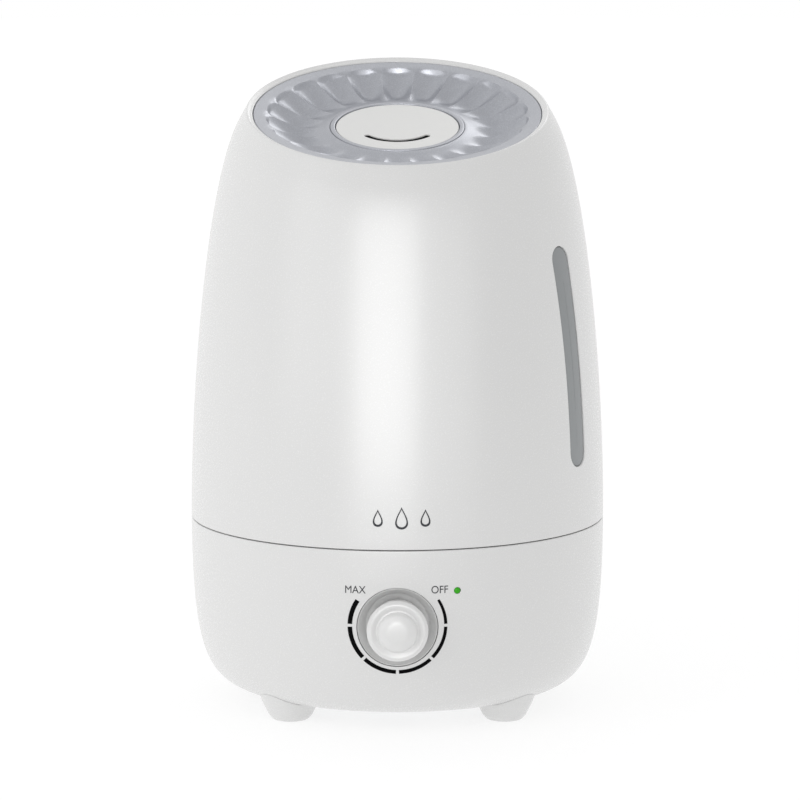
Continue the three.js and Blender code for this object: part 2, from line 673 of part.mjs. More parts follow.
function knob() {
  const back = DISH_FLOOR + 1.2;
  const flange = CASING_FACE + KNOB_PROUD;
  const front = CASING_FACE + DOME_PROUD;
  const hollow = NUT_FRONT + 1;
  return revolve([
    [0, KNOB_BORE_END],
    [SHAFT_RADIUS + GAP, KNOB_BORE_END],
    [SHAFT_RADIUS + GAP, hollow],
    [BUSHING_RADIUS + 4.2, hollow],
    [BUSHING_RADIUS + 4.2, back],
    [KNOB_RADIUS - 0.8, back],
    [KNOB_RADIUS, flange - 3],
    [KNOB_RADIUS - 1.8, flange],
    [DOME_RADIUS, flange - 1.4],
    [DOME_RADIUS - 0.4, front - 2.4],
    [DOME_RADIUS - 1.8, front - 0.9],
    [0, front],
  ], 24);
}

const NUT_BACK = DISH_FLOOR + GAP;
const NUT_FRONT = NUT_BACK + 2;
const BUSHING_END = NUT_FRONT + 0.6;
const KNOB_BORE_END = BUSHING_END + 8;
const POT_FRONT = DISH_BACK - GAP;
addPart('dial_dish', dialDish(), WHITE_ABS, base);
addPart('potentiometer', facingFront(revolve([
  [0, POT_FRONT - POT_DEPTH],
  [POT_RADIUS, POT_FRONT - POT_DEPTH],
  [POT_RADIUS, POT_FRONT],
  [BUSHING_RADIUS, POT_FRONT],
  [BUSHING_RADIUS, BUSHING_END],
  [0, BUSHING_END],
], 16), DIAL_HEIGHT), STEEL, base);
addPart('dial_nut', facingFront(cut(rod(BUSHING_RADIUS + 2.6, NUT_BACK, NUT_FRONT, 6),
  rod(BUSHING_RADIUS + GAP, NUT_BACK - 1, NUT_FRONT + 1, 16)), DIAL_HEIGHT), STEEL, base);
addPart('dial_shaft', facingFront(rod(SHAFT_RADIUS, BUSHING_END + GAP, KNOB_BORE_END - GAP, 12),
  DIAL_HEIGHT), STEEL, base);
addPart('dial_knob', facingFront(knob(), DIAL_HEIGHT), WHITE_ABS, base);

const LAMP_FACE = baseRadius(LAMP_HEIGHT) + 0.2;
const LAMP_BACK = LAMP_FACE - LAMP_LENGTH;
addPart('lamp_lens', facingBearing(revolve([
  [0, LAMP_BACK],
  [LAMP_RADIUS, LAMP_BACK],
  [LAMP_RADIUS, LAMP_FACE - 0.5],
  [LAMP_RADIUS * 0.6, LAMP_FACE],
  [0, LAMP_FACE],
], 16), LAMP_HEIGHT, LAMP_BEARING), GREEN_LENS, base);
const lampBoard = new THREE.BoxGeometry(...LAMP_BOARD_SIZE)
  .translate(0, 0, LAMP_BACK - GAP - LAMP_BOARD_SIZE[2] / 2);
addPart('lamp_board', facingBearing(lampBoard, LAMP_HEIGHT, LAMP_BEARING), CIRCUIT_BOARD, base);

const INLET_FACE = baseRadius(INLET_HEIGHT);
/** Cord gland: a bush through the casing with a flange that follows the skin. */
function inletGland() {
  const front = INLET_FACE + INLET_PROUD;
  const flange = revolve([
    [INLET_BORE, INLET_FACE - 2],
    [INLET_RADIUS + 2.4, INLET_FACE - 2],
    [INLET_RADIUS + 2.4, front - 1],
    [INLET_RADIUS + 1, front],
    [INLET_BORE, front],
  ]);
  const bush = ring(INLET_RADIUS, INLET_BORE, INLET_FACE - CASING_WALL - 4, front - 1);
  const outwards = (shape) => facingBearing(shape, INLET_HEIGHT, Math.PI);
  return join(cut(outwards(flange), baseSolid(GAP)), outwards(bush));
}
addPart('inlet_gland', inletGland(), BLACK_RUBBER, base);

// ---- float

addPart('float_ring', ring(FLOAT_RADIUS, FLOAT_GUIDE_RADIUS + 0.6, POOL_FLOOR + GAP,
  POOL_FLOOR + GAP + FLOAT_HEIGHT - 2.4, 16).translate(FILLER_OFFSET, 0, 0), FLOAT_FOAM, base);
addPart('float_magnet', ring(FLOAT_GUIDE_RADIUS + 3.4, FLOAT_GUIDE_RADIUS + 0.6,
  POOL_FLOOR + FLOAT_HEIGHT - 1.8, POOL_FLOOR + FLOAT_HEIGHT, 16).translate(FILLER_OFFSET, 0, 0),
STEEL, base);

// ------------------------------------------------------------ tank

/** A prism along the window's bearing with the window's full-round outline. */
function windowPrism(margin) {
  const radius = WINDOW_WIDTH / 2 - margin;
  const outline = new THREE.Shape();
  outline.absarc(0, WINDOW_TOP - WINDOW_WIDTH / 2, radius, 0, Math.PI);
  outline.absarc(0, WINDOW_BOTTOM + WINDOW_WIDTH / 2, radius, Math.PI, 2 * Math.PI);
  const prism = new THREE.ExtrudeGeometry(outline, {
    depth: BODY_RADIUS, bevelEnabled: false, curveSegments: 5,
  });
  return prism.rotateX(Math.PI / 2).translate(0, -BODY_RADIUS / 2, 0).rotateZ(WINDOW_BEARING);
}

function tankShell() {
  const bottom = SEAM_HEIGHT + SEAM_GAP / 2;
  const roof = RIM_HEIGHT - SHELF_DEPTH - 2.6;
  const inside = inset(WALL_CURVE, TANK_WALL).filter(([, z]) => z > bottom && z < roof - 3);
  const body = lean(revolve([
    [BODY_RADIUS - TANK_WALL, bottom],
    [BODY_RADIUS, bottom],
    ...WALL_CURVE.slice(1),
    ...SHOULDER_CURVE.slice(1),
    [0, RIM_HEIGHT],
    [0, roof],
    [inside[inside.length - 1][0] - 3, roof],
    ...inside.reverse(),
  ], SKIN_SEGMENTS));
  const mouth = onTop(revolve([
    [0, -SHELF_DEPTH - 20],
    [RIM_RADIUS - SHELF_WIDTH, -SHELF_DEPTH - 20],
    [RIM_RADIUS - SHELF_WIDTH, -SHELF_DEPTH],
    [RIM_RADIUS, -SHELF_DEPTH],
    [RIM_RADIUS, 20],
    [0, 20],
  ], SKIN_SEGMENTS));
  return cut(body, mouth, windowPrism(0));
}

function levelWindow() {
  const outside = inset(WALL_CURVE, WINDOW_RECESS);
  const inside = inset(WALL_CURVE, TANK_WALL).reverse();
  const strip = lean(revolve([...outside, ...inside], SKIN_SEGMENTS));
  return common(strip, windowPrism(GAP));
}

function tankFloor() {
  const outer = BODY_RADIUS - TANK_WALL - GAP;
  const top = FLOOR_HEIGHT + FLOOR_THICKNESS;
  const skirt = outer - 2.2; // centres the tank inside the base's rim
  const plate = revolve([
    [0, FLOOR_HEIGHT],
    [skirt - 2, FLOOR_HEIGHT],
    [skirt - 2, DECK_HEIGHT + 1],
    [skirt, DECK_HEIGHT + 1],
    [skirt, FLOOR_HEIGHT],
    [outer, FLOOR_HEIGHT],
    [outer, top],
    [0, top],
  ], SKIN_SEGMENTS);
  const chamber = rod(CHAMBER_RADIUS + CHIMNEY_WALL, FLOOR_HEIGHT - CHAMBER_SKIRT, top, 24)
    .translate(0, CHIMNEY_Y, 0);
  const neck = rod(NECK_BORE + NECK_WALL, FLOOR_HEIGHT - NECK_LENGTH, top)
    .translate(-FILLER_OFFSET, 0, 0);
  return cut(
    join(plate, chamber, neck),
    rod(CHAMBER_RADIUS, 0, top + 1, 24).translate(0, CHIMNEY_Y, 0),
    rod(NECK_BORE, 0, top + 1).translate(-FILLER_OFFSET, 0, 0),
  );
}

function mistChimney() {
  const low = FLOOR_HEIGHT + FLOOR_THICKNESS + GAP;
  const shoulder = low + 26;
  const outer = CHIMNEY_RADIUS + CHIMNEY_WALL;
  const tube = revolve([
    [CHAMBER_RADIUS, low],
    [CHAMBER_RADIUS + 4, low],
    [CHAMBER_RADIUS + 4, low + 2],
    [CHAMBER_RADIUS + CHIMNEY_WALL, low + 3],
    [outer, shoulder],
    [outer, RIM_HEIGHT + 20],
    [CHIMNEY_RADIUS, RIM_HEIGHT + 20],
    [CHIMNEY_RADIUS, shoulder],
    [CHAMBER_RADIUS, low + 3],
  ], 24).translate(0, CHIMNEY_Y, 0);
  return cut(tube, onTop(block(0, 0, 2 * BODY_RADIUS, 2 * BODY_RADIUS, -CHIMNEY_TOP, RIM_HEIGHT)));
}

addPart('tank_shell', tankShell(), WHITE_ABS, tank);
addPart('level_window', levelWindow(), SMOKE_CLEAR, tank);
addPart('tank_floor', tankFloor(), INNER_ABS, tank);
addPart('mist_chimney', mistChimney(), INNER_ABS, tank);

// ---- filler cap and its valve

function fillerCap() {
  const inner = NECK_BORE + NECK_WALL + 0.4;
  const outer = inner + CAP_WALL;
  const top = CAP_PLATE_BOTTOM + CAP_SKIRT;
  const bridgeTop = BRIDGE_BOTTOM + BRIDGE_THICKNESS;
  const cup = revolve([
    [VALVE_HOLE, CAP_PLATE_BOTTOM],
    [outer, CAP_PLATE_BOTTOM],
    [outer, top],
    [inner, top],
    [inner, CAP_PLATE_TOP],
    [VALVE_HOLE, CAP_PLATE_TOP],
  ], 24);
  const legs = [-1, 1].map((side) =>
    block(side * (NECK_BORE - 3.5), 0, 3, BRIDGE_WIDTH, CAP_PLATE_TOP - 1, bridgeTop));
  const bridge = block(0, 0, 2 * (NECK_BORE - 2), BRIDGE_WIDTH, BRIDGE_BOTTOM, bridgeTop);
  const stemHole = rod(STEM_RADIUS + GAP, BRIDGE_BOTTOM - 1, bridgeTop + 1, 16);
  return cut(join(cup, ...legs, bridge), stemHole).translate(-FILLER_OFFSET, 0, 0);
}

function valvePlunger() {
  return revolve([
    [0, STEM_BOTTOM],
    [STEM_RADIUS, STEM_BOTTOM],
    [STEM_RADIUS, HEAD_BOTTOM],
    [VALVE_HOLE + 2, HEAD_BOTTOM],
    [VALVE_HOLE + 2, HEAD_BOTTOM + HEAD_THICKNESS],
    [STEM_RADIUS, HEAD_BOTTOM + HEAD_THICKNESS],
    [STEM_RADIUS, BRIDGE_BOTTOM + 2 * BRIDGE_THICKNESS],
    [0, BRIDGE_BOTTOM + 2 * BRIDGE_THICKNESS],
  ], 20).translate(-FILLER_OFFSET, 0, 0);
}

/** The closing spring, between the plunger's head and the cap's bridge. */
class Helix extends THREE.Curve {
  constructor(radius, low, high, turns) {
    super();
    Object.assign(this, { radius, low, high, turns });
  }

  getPoint(t, target = new THREE.Vector3()) {
    const angle = 2 * Math.PI * this.turns * t;
    const height = THREE.MathUtils.lerp(this.low, this.high, t);
    return target.set(this.radius * Math.cos(angle), this.radius * Math.sin(angle), height);
  }
}

function valveSpring() {
  const low = HEAD_BOTTOM + HEAD_THICKNESS + GAP + SPRING_WIRE;
  const high = BRIDGE_BOTTOM - GAP - SPRING_WIRE;
  const section = new THREE.Shape();
  section.absarc(0, 0, SPRING_WIRE, 0, 2 * Math.PI);
  const path = new Helix(STEM_RADIUS + 1.6, low, high, SPRING_TURNS);
  return new THREE.ExtrudeGeometry(section, {
    steps: 10 * SPRING_TURNS, curveSegments: 2, bevelEnabled: false, extrudePath: path,
  }).translate(-FILLER_OFFSET, 0, 0);
}

const HEAD_BOTTOM = CAP_PLATE_TOP + VALVE_TRAVEL + VALVE_SEAL + 2 * GAP;
const BRIDGE_BOTTOM = HEAD_BOTTOM + BRIDGE_RISE;
addPart('filler_cap', fillerCap(), WHITE_ABS, tank);
addPart('filler_gasket', ring(NECK_BORE + NECK_WALL - 0.2, NECK_BORE, CAP_PLATE_TOP + GAP,
  CAP_PLATE_TOP + GAP + SEAL_THICKNESS).translate(-FILLER_OFFSET, 0, 0), SILICONE, tank);
addPart('valve_plunger', valvePlunger(), INNER_ABS, tank);
addPart('valve_seal', ring(VALVE_HOLE + 2, STEM_RADIUS + GAP, HEAD_BOTTOM - GAP - VALVE_SEAL,
  HEAD_BOTTOM - GAP, 20).translate(-FILLER_OFFSET, 0, 0), SILICONE, tank);
addPart('valve_spring', valveSpring(), STEEL, tank);

// ---- slanted top

/** Dish of the ring: height of its surface, flutes left out, at a radius. */
function dishHeight(radius) {
  const outer = RIM_RADIUS - GAP - RING_BAND;
  const low = FLUTE_INNER_RADIUS + 2;
  if (radius >= outer) return -0.5 - (0.9 * (RIM_RADIUS - GAP - radius)) / RING_BAND;
  if (radius <= low) {
    const rise = THREE.MathUtils.smoothstep(low - radius, 0, low - SOCKET_RADIUS);
    return -DISH_DEPTH + rise * (DISH_DEPTH - DISC_RECESS);
  }
  const t = (outer - radius) / (outer - low);
  return -1.4 - (DISH_DEPTH - 1.4) * Math.sin((t * Math.PI) / 2);
}

/** Depth of a flute below the dish, deepest in the middle of its width and length. */
function fluteDepth(radius, angle) {
  const outer = RIM_RADIUS - GAP - RING_BAND;
  const t = (radius - FLUTE_INNER_RADIUS) / (outer - FLUTE_INNER_RADIUS);
  if (t <= 0 || t >= 1) return 0;
  const across = Math.abs(Math.cos((angle * FLUTE_COUNT) / 2));
  return FLUTE_DEPTH * across * Math.sin(Math.PI * t ** 1.4);
}

function flutedRing() {
  const outer = RIM_RADIUS - GAP;
  const flutes = outer - RING_BAND;
  const top = [outer, flutes];
  for (let k = 1; k <= 4; k += 1) top.push(flutes + ((FLUTE_INNER_RADIUS - flutes) * k) / 4);
  top.push(SOCKET_RADIUS);
  const under = RING_THICKNESS + FLUTE_DEPTH;
  const seat = -SHELF_DEPTH + 2 * GAP + RING_SEAL;
  const inward = RIM_RADIUS - SHELF_WIDTH - GAP;
  const profile = [
    ...top.map((r) => [r, dishHeight(r)]),
    [SOCKET_RADIUS, -SOCKET_DEPTH],
    [NOZZLE_BORE + NOZZLE_TUBE_WALL + GAP, -SOCKET_DEPTH],
    [NOZZLE_BORE + NOZZLE_TUBE_WALL + GAP, -SOCKET_END + RING_THICKNESS],
    [CHIMNEY_RADIUS - 0.5, -SOCKET_END + RING_THICKNESS],
    [CHIMNEY_RADIUS - 0.5, -SOCKET_END],
    [CHIMNEY_RADIUS + 8, -SOCKET_END],
    [CHIMNEY_RADIUS + 8, -SOCKET_DEPTH - RING_THICKNESS],
    [FLUTE_INNER_RADIUS + 6, -SOCKET_DEPTH - RING_THICKNESS],
    [flutes - 9, dishHeight(flutes - 9) - under],
    [inward, dishHeight(inward) - under],
    [inward, seat],
    [outer, seat],
  ];
  const geometry = revolve(profile, FLUTE_COUNT * 2);
  const p = geometry.attributes.position;
  for (let i = 0; i < p.count; i += 1) {
    const radius = Math.hypot(p.getX(i), p.getY(i));
    const onDish = Math.abs(p.getZ(i) - dishHeight(radius)) < 0.01;
    const angle = Math.atan2(p.getX(i), p.getY(i));
    if (onDish) p.setZ(i, p.getZ(i) - fluteDepth(radius, angle));
  }
  return onTop(geometry);
}

function nozzleCollar() {
  const outer = SOCKET_RADIUS - GAP;
  const seat = -DISC_RECESS - DISC_THICKNESS - GAP;
  const foot = -SOCKET_DEPTH + GAP;
  return onTop(revolve([
    [NOZZLE_BORE, -SOCKET_END + RING_THICKNESS + 1],
    [NOZZLE_BORE + NOZZLE_TUBE_WALL, -SOCKET_END + RING_THICKNESS + 1],
    [NOZZLE_BORE + NOZZLE_TUBE_WALL, foot],
    [outer, foot],
    [outer, -DISC_RECESS + 0.4],
    [DISC_RADIUS + GAP, -DISC_RECESS + 0.4],
    [DISC_RADIUS + GAP, seat],
    [NOZZLE_BORE, seat],
  ], 32));
}

function nozzleDisc() {
  const under = -DISC_RECESS - DISC_THICKNESS;
  const skirt = NOZZLE_BORE - GAP;
  const disc = revolve([
    [0, under],
    [skirt - 1.7, under],
    [skirt - 1.7, -SOCKET_END + RING_THICKNESS + 2],
    [skirt, -SOCKET_END + RING_THICKNESS + 2],
    [skirt, under],
    [DISC_RADIUS, under],
    [DISC_RADIUS, -DISC_RECESS],
    [0, -DISC_RECESS],
  ], 32);
  const slit = new THREE.Shape();
  const middle = -Math.PI / 2;
  const half = SLIT_WIDTH / 2;
  slit.absarc(0, 0, SLIT_RADIUS + half, middle - SLIT_HALF_ANGLE, middle + SLIT_HALF_ANGLE);
  slit.absarc(0, 0, SLIT_RADIUS - half, middle + SLIT_HALF_ANGLE, middle - SLIT_HALF_ANGLE, true);
  const tool = new THREE.ExtrudeGeometry(slit, { depth: 20, bevelEnabled: false, curveSegments: 6 });
  return onTop(cut(disc, tool.translate(0, 0, -DISC_RECESS - 10)));
}

addPart('fluted_ring', flutedRing(), SILVER_PAINT, tank);
addPart('ring_seal', onTop(ring(RIM_RADIUS - 2, RIM_RADIUS - SHELF_WIDTH + 1, -SHELF_DEPTH + GAP,
  -SHELF_DEPTH + GAP + RING_SEAL, SKIN_SEGMENTS)), SILICONE, tank);
addPart('chimney_seal', onTop(ring(CHIMNEY_RADIUS + 6, CHIMNEY_RADIUS - 0.5,
  -SOCKET_END - GAP - SEAL_THICKNESS, -SOCKET_END - GAP, 24)), SILICONE, tank);
addPart('nozzle_collar', nozzleCollar(), SILVER_PAINT, tank);
addPart('nozzle_disc', nozzleDisc(), DISC_WHITE, tank);

// The frame's origin is under the middle of the whole outline, knob and inlet included.
const FRONT_REACH = CASING_FACE + DOME_PROUD;
const BACK_REACH = Math.max(BODY_RADIUS, INLET_FACE + INLET_PROUD);
humidifier.position.y = (FRONT_REACH - BACK_REACH) / 2;

export default humidifier;
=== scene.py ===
"""Cool mist humidifier: the fine visual model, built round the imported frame.

Each sub-assembly is a class. Its sizes are millimetres about the body's own upright axis, with
+Z up and the front towards -Y, and Bench puts each finished mesh into the frame in metres.
"""

import logging
import math
from dataclasses import dataclass
from enum import Enum
from functools import cache
from typing import Any, Callable, Sequence

import bmesh
import bpy
from bmesh.types import BMesh, BMVert
from bpy.types import Material, Node, Object
from bpy.types import NodeSocket as Socket, NodeTree as Tree
from mathutils import Matrix, Vector
from mathutils.bvhtree import BVHTree


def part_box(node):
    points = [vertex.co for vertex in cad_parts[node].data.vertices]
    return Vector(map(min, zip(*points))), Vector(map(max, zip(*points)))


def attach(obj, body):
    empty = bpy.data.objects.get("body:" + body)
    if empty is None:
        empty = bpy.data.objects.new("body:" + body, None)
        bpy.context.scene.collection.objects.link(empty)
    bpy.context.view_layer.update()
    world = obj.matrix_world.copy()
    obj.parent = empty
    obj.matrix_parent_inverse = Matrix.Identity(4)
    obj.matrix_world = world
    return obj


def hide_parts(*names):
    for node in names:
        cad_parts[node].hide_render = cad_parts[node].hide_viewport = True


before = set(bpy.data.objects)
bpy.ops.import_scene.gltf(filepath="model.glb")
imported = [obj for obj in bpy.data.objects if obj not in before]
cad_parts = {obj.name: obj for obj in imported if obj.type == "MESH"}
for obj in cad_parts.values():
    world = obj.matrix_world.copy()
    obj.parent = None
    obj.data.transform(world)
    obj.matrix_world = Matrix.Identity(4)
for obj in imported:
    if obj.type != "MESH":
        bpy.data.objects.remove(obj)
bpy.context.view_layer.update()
log = logging.getLogger("humidifier")

MM = 0.001
GAP = 0.3  # clearance between pieces that meet
SEAM_GAP = 0.25  # half the gap between the tank and the base
ARC_DEGREES = (20, 40, 60, 78)  # stations round a rounded outer edge
Point = tuple[float, float]
Outline = Callable[[float], list[Point]]

# Sizes that more than one sub-assembly uses.
DECK_HEIGHT = 90.4
DISH_RADIUS = 19.5
DIAL_HEIGHT = 56.8
LAMP_X = 29.0
LAMP_HEIGHT = 74.7
LAMP_RADIUS = 1.5
INLET_HEIGHT = 40.0
INLET_RADIUS = 6.0
CASING_WALL = 2.6
CHIMNEY_BORE = 22.0
INK_THICKNESS = 0.05
INK_LIFT = 0.03  # keeps the ink clear of the facets under it
SHELF_DEPTH = 5.0
SHELF_WIDTH = 6.4


class Body(Enum):
    """The moving bodies of the frame."""

    BASE = "base"
    FAN = "fan"
    DIAL = "dial"
    FLOAT = "float"
    TANK = "tank"
    CAP = "cap"
    VALVE = "valve"
    NOZZLE = "nozzle"
    OUTLET = "outlet"


class Cut(Enum):
    """How two solids are combined."""

    JOIN = "UNION"
    CARVE = "DIFFERENCE"
    COMMON = "INTERSECT"


# ------------------------------------------------------------------ outlines


def smoothstep(value: float, low: float, high: float) -> float:
    """Rises smoothly from 0 at low to 1 at high.

    Args:
        value: The value to place between the two.
        low: Where the step starts.
        high: Where the step ends.

    Returns:
        A share from 0 to 1.
    """
    share = min(1.0, max(0.0, (value - low) / (high - low)))
    return share * share * (3 - 2 * share)


def bezier(start: Point, pull: Point, push: Point, end: Point, steps: int) -> list[Point]:
    """Points along a cubic curve.

    Args:
        start: First point.
        pull: Control point that the curve leaves towards.
        push: Control point that the curve arrives from.
        end: Last point.
        steps: Number of stretches.

    Returns:
        The points, ends included.
    """
    points = []
    for index in range(steps + 1):
        t = index / steps
        shares = ((1 - t) ** 3, 3 * t * (1 - t) ** 2, 3 * t * t * (1 - t), t**3)
        weighed = list(zip(shares, (start, pull, push, end)))
        points.append((sum(w * p[0] for w, p in weighed), sum(w * p[1] for w, p in weighed)))
    return points


def fillet(before: Point, corner: Point, after: Point, radius: float, steps: int) -> list[Point]:
    """Rounds one corner of an outline.

    Args:
        before: The point before the corner.
        corner: The corner itself.
        after: The point after it.
        radius: Radius wanted, which shrinks where the sides are short.
        steps: Number of stretches in the arc.

    Returns:
        The points that take the corner's place.
    """
    middle = Vector(corner)
    back, ahead = Vector(before) - middle, Vector(after) - middle
    shortest = min(back.length, ahead.length)
    if radius <= 0 or shortest < 1e-6:
        return [corner]
    half = back.angle(ahead) / 2
    if half > math.radians(88):
        return [corner]
    reach = min(radius / math.tan(half), shortest * 0.48)
    true_radius = reach * math.tan(half)
    inwards = (back.normalized() + ahead.normalized()).normalized()
    centre = middle + inwards * (true_radius / math.sin(half))
    first = middle + back.normalized() * reach - centre
    last = middle + ahead.normalized() * reach - centre
    start = math.atan2(first.y, first.x)
    sweep = math.remainder(math.atan2(last.y, last.x) - start, math.tau)
    arc = [polar(true_radius, start + sweep * k / steps) for k in range(steps + 1)]
    return [(centre.x + x, centre.y + y) for x, y in arc]


def rounded(corners: Sequence[tuple[float, ...]], steps: int = 4, ring: bool = True) -> list[Point]:
    """An outline with its corners rounded.

    Args:
        corners: Points as (radius, height) or (radius, height, corner radius).
        steps: Stretches in each arc.
        ring: True if the outline closes on itself.

    Returns:
        The outline's points.
    """
    outline: list[Point] = []
    count = len(corners)
    for index, corner in enumerate(corners):
        at_end = not ring and index in (0, count - 1)
        size = corner[2] if len(corner) > 2 and not at_end else 0.0
        before, after = corners[index - 1], corners[(index + 1) % count]
        outline += fillet(before[:2], corner[:2], after[:2], size, steps)
    return outline


def inset(points: Sequence[Point], distance: float) -> list[Point]:
    """Moves each point of a profile inwards, square to the curve.

    Args:
        points: The profile, from low to high.
        distance: How far it moves towards the axis.

    Returns:
        The moved profile.
    """
    moved = []
    for index, (radius, height) in enumerate(points):
        r0, z0 = points[max(index - 1, 0)]
        r1, z1 = points[min(index + 1, len(points) - 1)]
        length = math.hypot(r1 - r0, z1 - z0)
        moved.append((radius - distance * (z1 - z0) / length, height + distance * (r1 - r0) / length))
    return moved


def stadium(width: float, low: float, high: float, grow: float) -> list[Point]:
    """A slot's full-round outline, with its straight sides in short stretches.

    Args:
        width: Width of the slot.
        low: Its lowest point.
        high: Its highest point.
        grow: How far the outline is moved outwards.

    Returns:
        The outline's points, counter-clockwise.
    """
    radius = width / 2 + grow
    top, bottom = high - width / 2, low + width / 2
    turns, sides = 14, 44
    bend = [polar(radius, math.pi * k / turns) for k in range(turns)]
    points = [(x, top + y) for x, y in bend]
    points += [(-radius, top + (bottom - top) * k / sides) for k in range(sides)]
    points += [(-x, bottom - y) for x, y in bend]
    return points + [(radius, bottom + (top - bottom) * k / sides) for k in range(sides)]


def polar(radius: float, angle: float) -> Point:
    """The point at a radius and an angle in radians."""
    return radius * math.cos(angle), radius * math.sin(angle)


def circle(radius: float, steps: int) -> list[Point]:
    """The points of a circle.

    Args:
        radius: Its radius.
        steps: Number of points.

    Returns:
        The points, counter-clockwise.
    """
    return [polar(radius, math.tau * k / steps) for k in range(steps)]


# ------------------------------------------------------------------ solids


def spin(profile: Sequence[Point], steps: int = 64) -> BMesh:
    """Turns a profile about the Z axis.

    Args:
        profile: (radius, height) points, closed on themselves or ending on the axis.
        steps: Number of stretches round the axis.

    Returns:
        A closed mesh with its faces outwards.
    """
    shape = bmesh.new()
    verts = [shape.verts.new((radius, 0.0, height)) for radius, height in profile]
    loop = list(verts)
    if profile[0][0] > 0 or profile[-1][0] > 0:
        loop.append(verts[0])
    edges = [shape.edges.new(pair) for pair in zip(loop, loop[1:])]
    bmesh.ops.spin(
        shape, geom=verts + edges, cent=(0, 0, 0), axis=(0, 0, 1), angle=math.tau, steps=steps,
        use_merge=True,
    )
    bmesh.ops.remove_doubles(shape, verts=shape.verts, dist=1e-4)
    bmesh.ops.dissolve_degenerate(shape, edges=shape.edges, dist=1e-5)
    bmesh.ops.recalc_face_normals(shape, faces=shape.faces)
    return shape


def rod(radius: float, low: float, high: float, bevel: float = 0.0, steps: int = 48) -> BMesh:
    """An upright rod with rounded edges.

    Args:
        radius: Its radius.
        low: Its lower end.
        high: Its upper end.
        bevel: Radius of its two edges.
        steps: Number of stretches round it.

    Returns:
        The rod's mesh.
    """
    corners = [(0, low), (radius, low, bevel), (radius, high, bevel), (0, high)]
    return spin(rounded(corners, 3, False), steps)


def ring(
    outer: float, bore: float, low: float, high: float, bevel: float = 0.0, steps: int = 64
) -> BMesh:
    """A flat ring with rounded edges.

    Args:
        outer: Its outer radius.
        bore: Its inner radius.
        low: Its lower face.
        high: Its upper face.
        bevel: Radius of its four edges.
        steps: Number of stretches round it.

    Returns:
        The ring's mesh.
    """
    corners = [(bore, low, bevel), (outer, low, bevel), (outer, high, bevel), (bore, high, bevel)]
    return spin(rounded(corners, 3), steps)


def soften(shape: BMesh, edges: list[bmesh.types.BMEdge], radius: float) -> BMesh:
    """Rounds edges of a shape and gives the shape back."""
    bmesh.ops.bevel(
        shape, geom=edges, offset=radius, offset_type="OFFSET", segments=2, profile=0.5,
        affect="EDGES", material=-1, clamp_overlap=True,
    )
    return shape


def block(centre: Sequence[float], size: Sequence[float], bevel: float = 0.0) -> BMesh:
    """A box with rounded edges.

    Args:
        centre: Its middle.
        size: Its three sizes.
        bevel: Radius of its edges.

    Returns:
        The box's mesh.
    """
    shape = bmesh.new()
    bmesh.ops.create_cube(shape, size=1.0)
    bmesh.ops.scale(shape, vec=size, verts=shape.verts)
    bmesh.ops.translate(shape, vec=centre, verts=shape.verts)
    return soften(shape, shape.edges[:], bevel) if bevel > 0 else shape


def loft(rings: Sequence[Sequence[Vector]], capped: bool = True) -> BMesh:
    """A skin over a row of outlines.

    Args:
        rings: Outlines with the same number of points each.
        capped: True to close the first and the last outline with a face.

    Returns:
        The mesh, with its faces outwards.
    """
    shape = bmesh.new()
    loops = []
    for outline in rings:
        verts = [shape.verts.new(point) for point in outline]
        loops.append([shape.edges.new((a, b)) for a, b in zip(verts, verts[1:] + verts[:1])])
    for lower, upper in zip(loops, loops[1:]):
        bmesh.ops.bridge_loops(shape, edges=lower + upper)
    if capped:
        for end in (loops[0], loops[-1]):
            bmesh.ops.contextual_create(shape, geom=end)
    bmesh.ops.recalc_face_normals(shape, faces=shape.faces)
    return shape


def moved(shape: BMesh, x: float = 0.0, y: float = 0.0, z: float = 0.0) -> BMesh:
    """Moves a shape and gives it back."""
    bmesh.ops.translate(shape, vec=(x, y, z), verts=shape.verts)
    return shape


def turned(shape: BMesh, degrees: float, axis: str = "Z") -> BMesh:
    """Turns a shape about an axis through the origin and gives it back."""
    turn = Matrix.Rotation(math.radians(degrees), 3, axis)
    bmesh.ops.rotate(shape, cent=(0, 0, 0), matrix=turn, verts=shape.verts)
    return shape


def facing(shape: BMesh, height: float, bearing: float = 0.0) -> BMesh:
    """Lays a shape drawn along +Z so that it points out of the body.

    Args:
        shape: The shape.
        height: The level that its axis lies at.
        bearing: Degrees from the front towards +X.

    Returns:
        The same shape, in place.
    """
    return turned(moved(turned(shape, 90, "X"), z=height), bearing)


def reshape(shape: BMesh, rule: Callable[[Vector], Vector]) -> BMesh:
    """Moves every vertex of a shape by a rule and gives the shape back."""
    for vert in shape.verts:
        vert.co = rule(vert.co)
    return shape


def combine(body: BMesh, tool: BMesh, how: Cut) -> BMesh:
    """Joins or cuts two closed solids.

    Args:
        body: The solid that is worked on.
        tool: The solid that is added or taken away.
        how: Join, carve or keep what they share.

    Returns:
        The new solid. Both that were given are used up.
    """
    objects = []
    for name, shape in (("body", body), ("tool", tool)):
        mesh = bpy.data.meshes.new(name)
        shape.to_mesh(mesh)
        shape.free()
        objects.append(bpy.data.objects.new(name, mesh))
        bpy.context.scene.collection.objects.link(objects[-1])
    worked, used = objects
    step = worked.modifiers.new("combine", "BOOLEAN")
    step.operation = how.value
    step.solver = "MANIFOLD"
    step.object = used
    ready = worked.evaluated_get(bpy.context.evaluated_depsgraph_get())
    result = bmesh.new()
    result.from_mesh(ready.to_mesh())
    ready.to_mesh_clear()
    for item in objects:
        mesh = item.data
        bpy.data.objects.remove(item)
        bpy.data.meshes.remove(mesh)
    return result


def carve(body: BMesh, *tools: BMesh) -> BMesh:
    """Takes each tool away from a solid."""
    for tool in tools:
        body = combine(body, tool, Cut.CARVE)
    return body


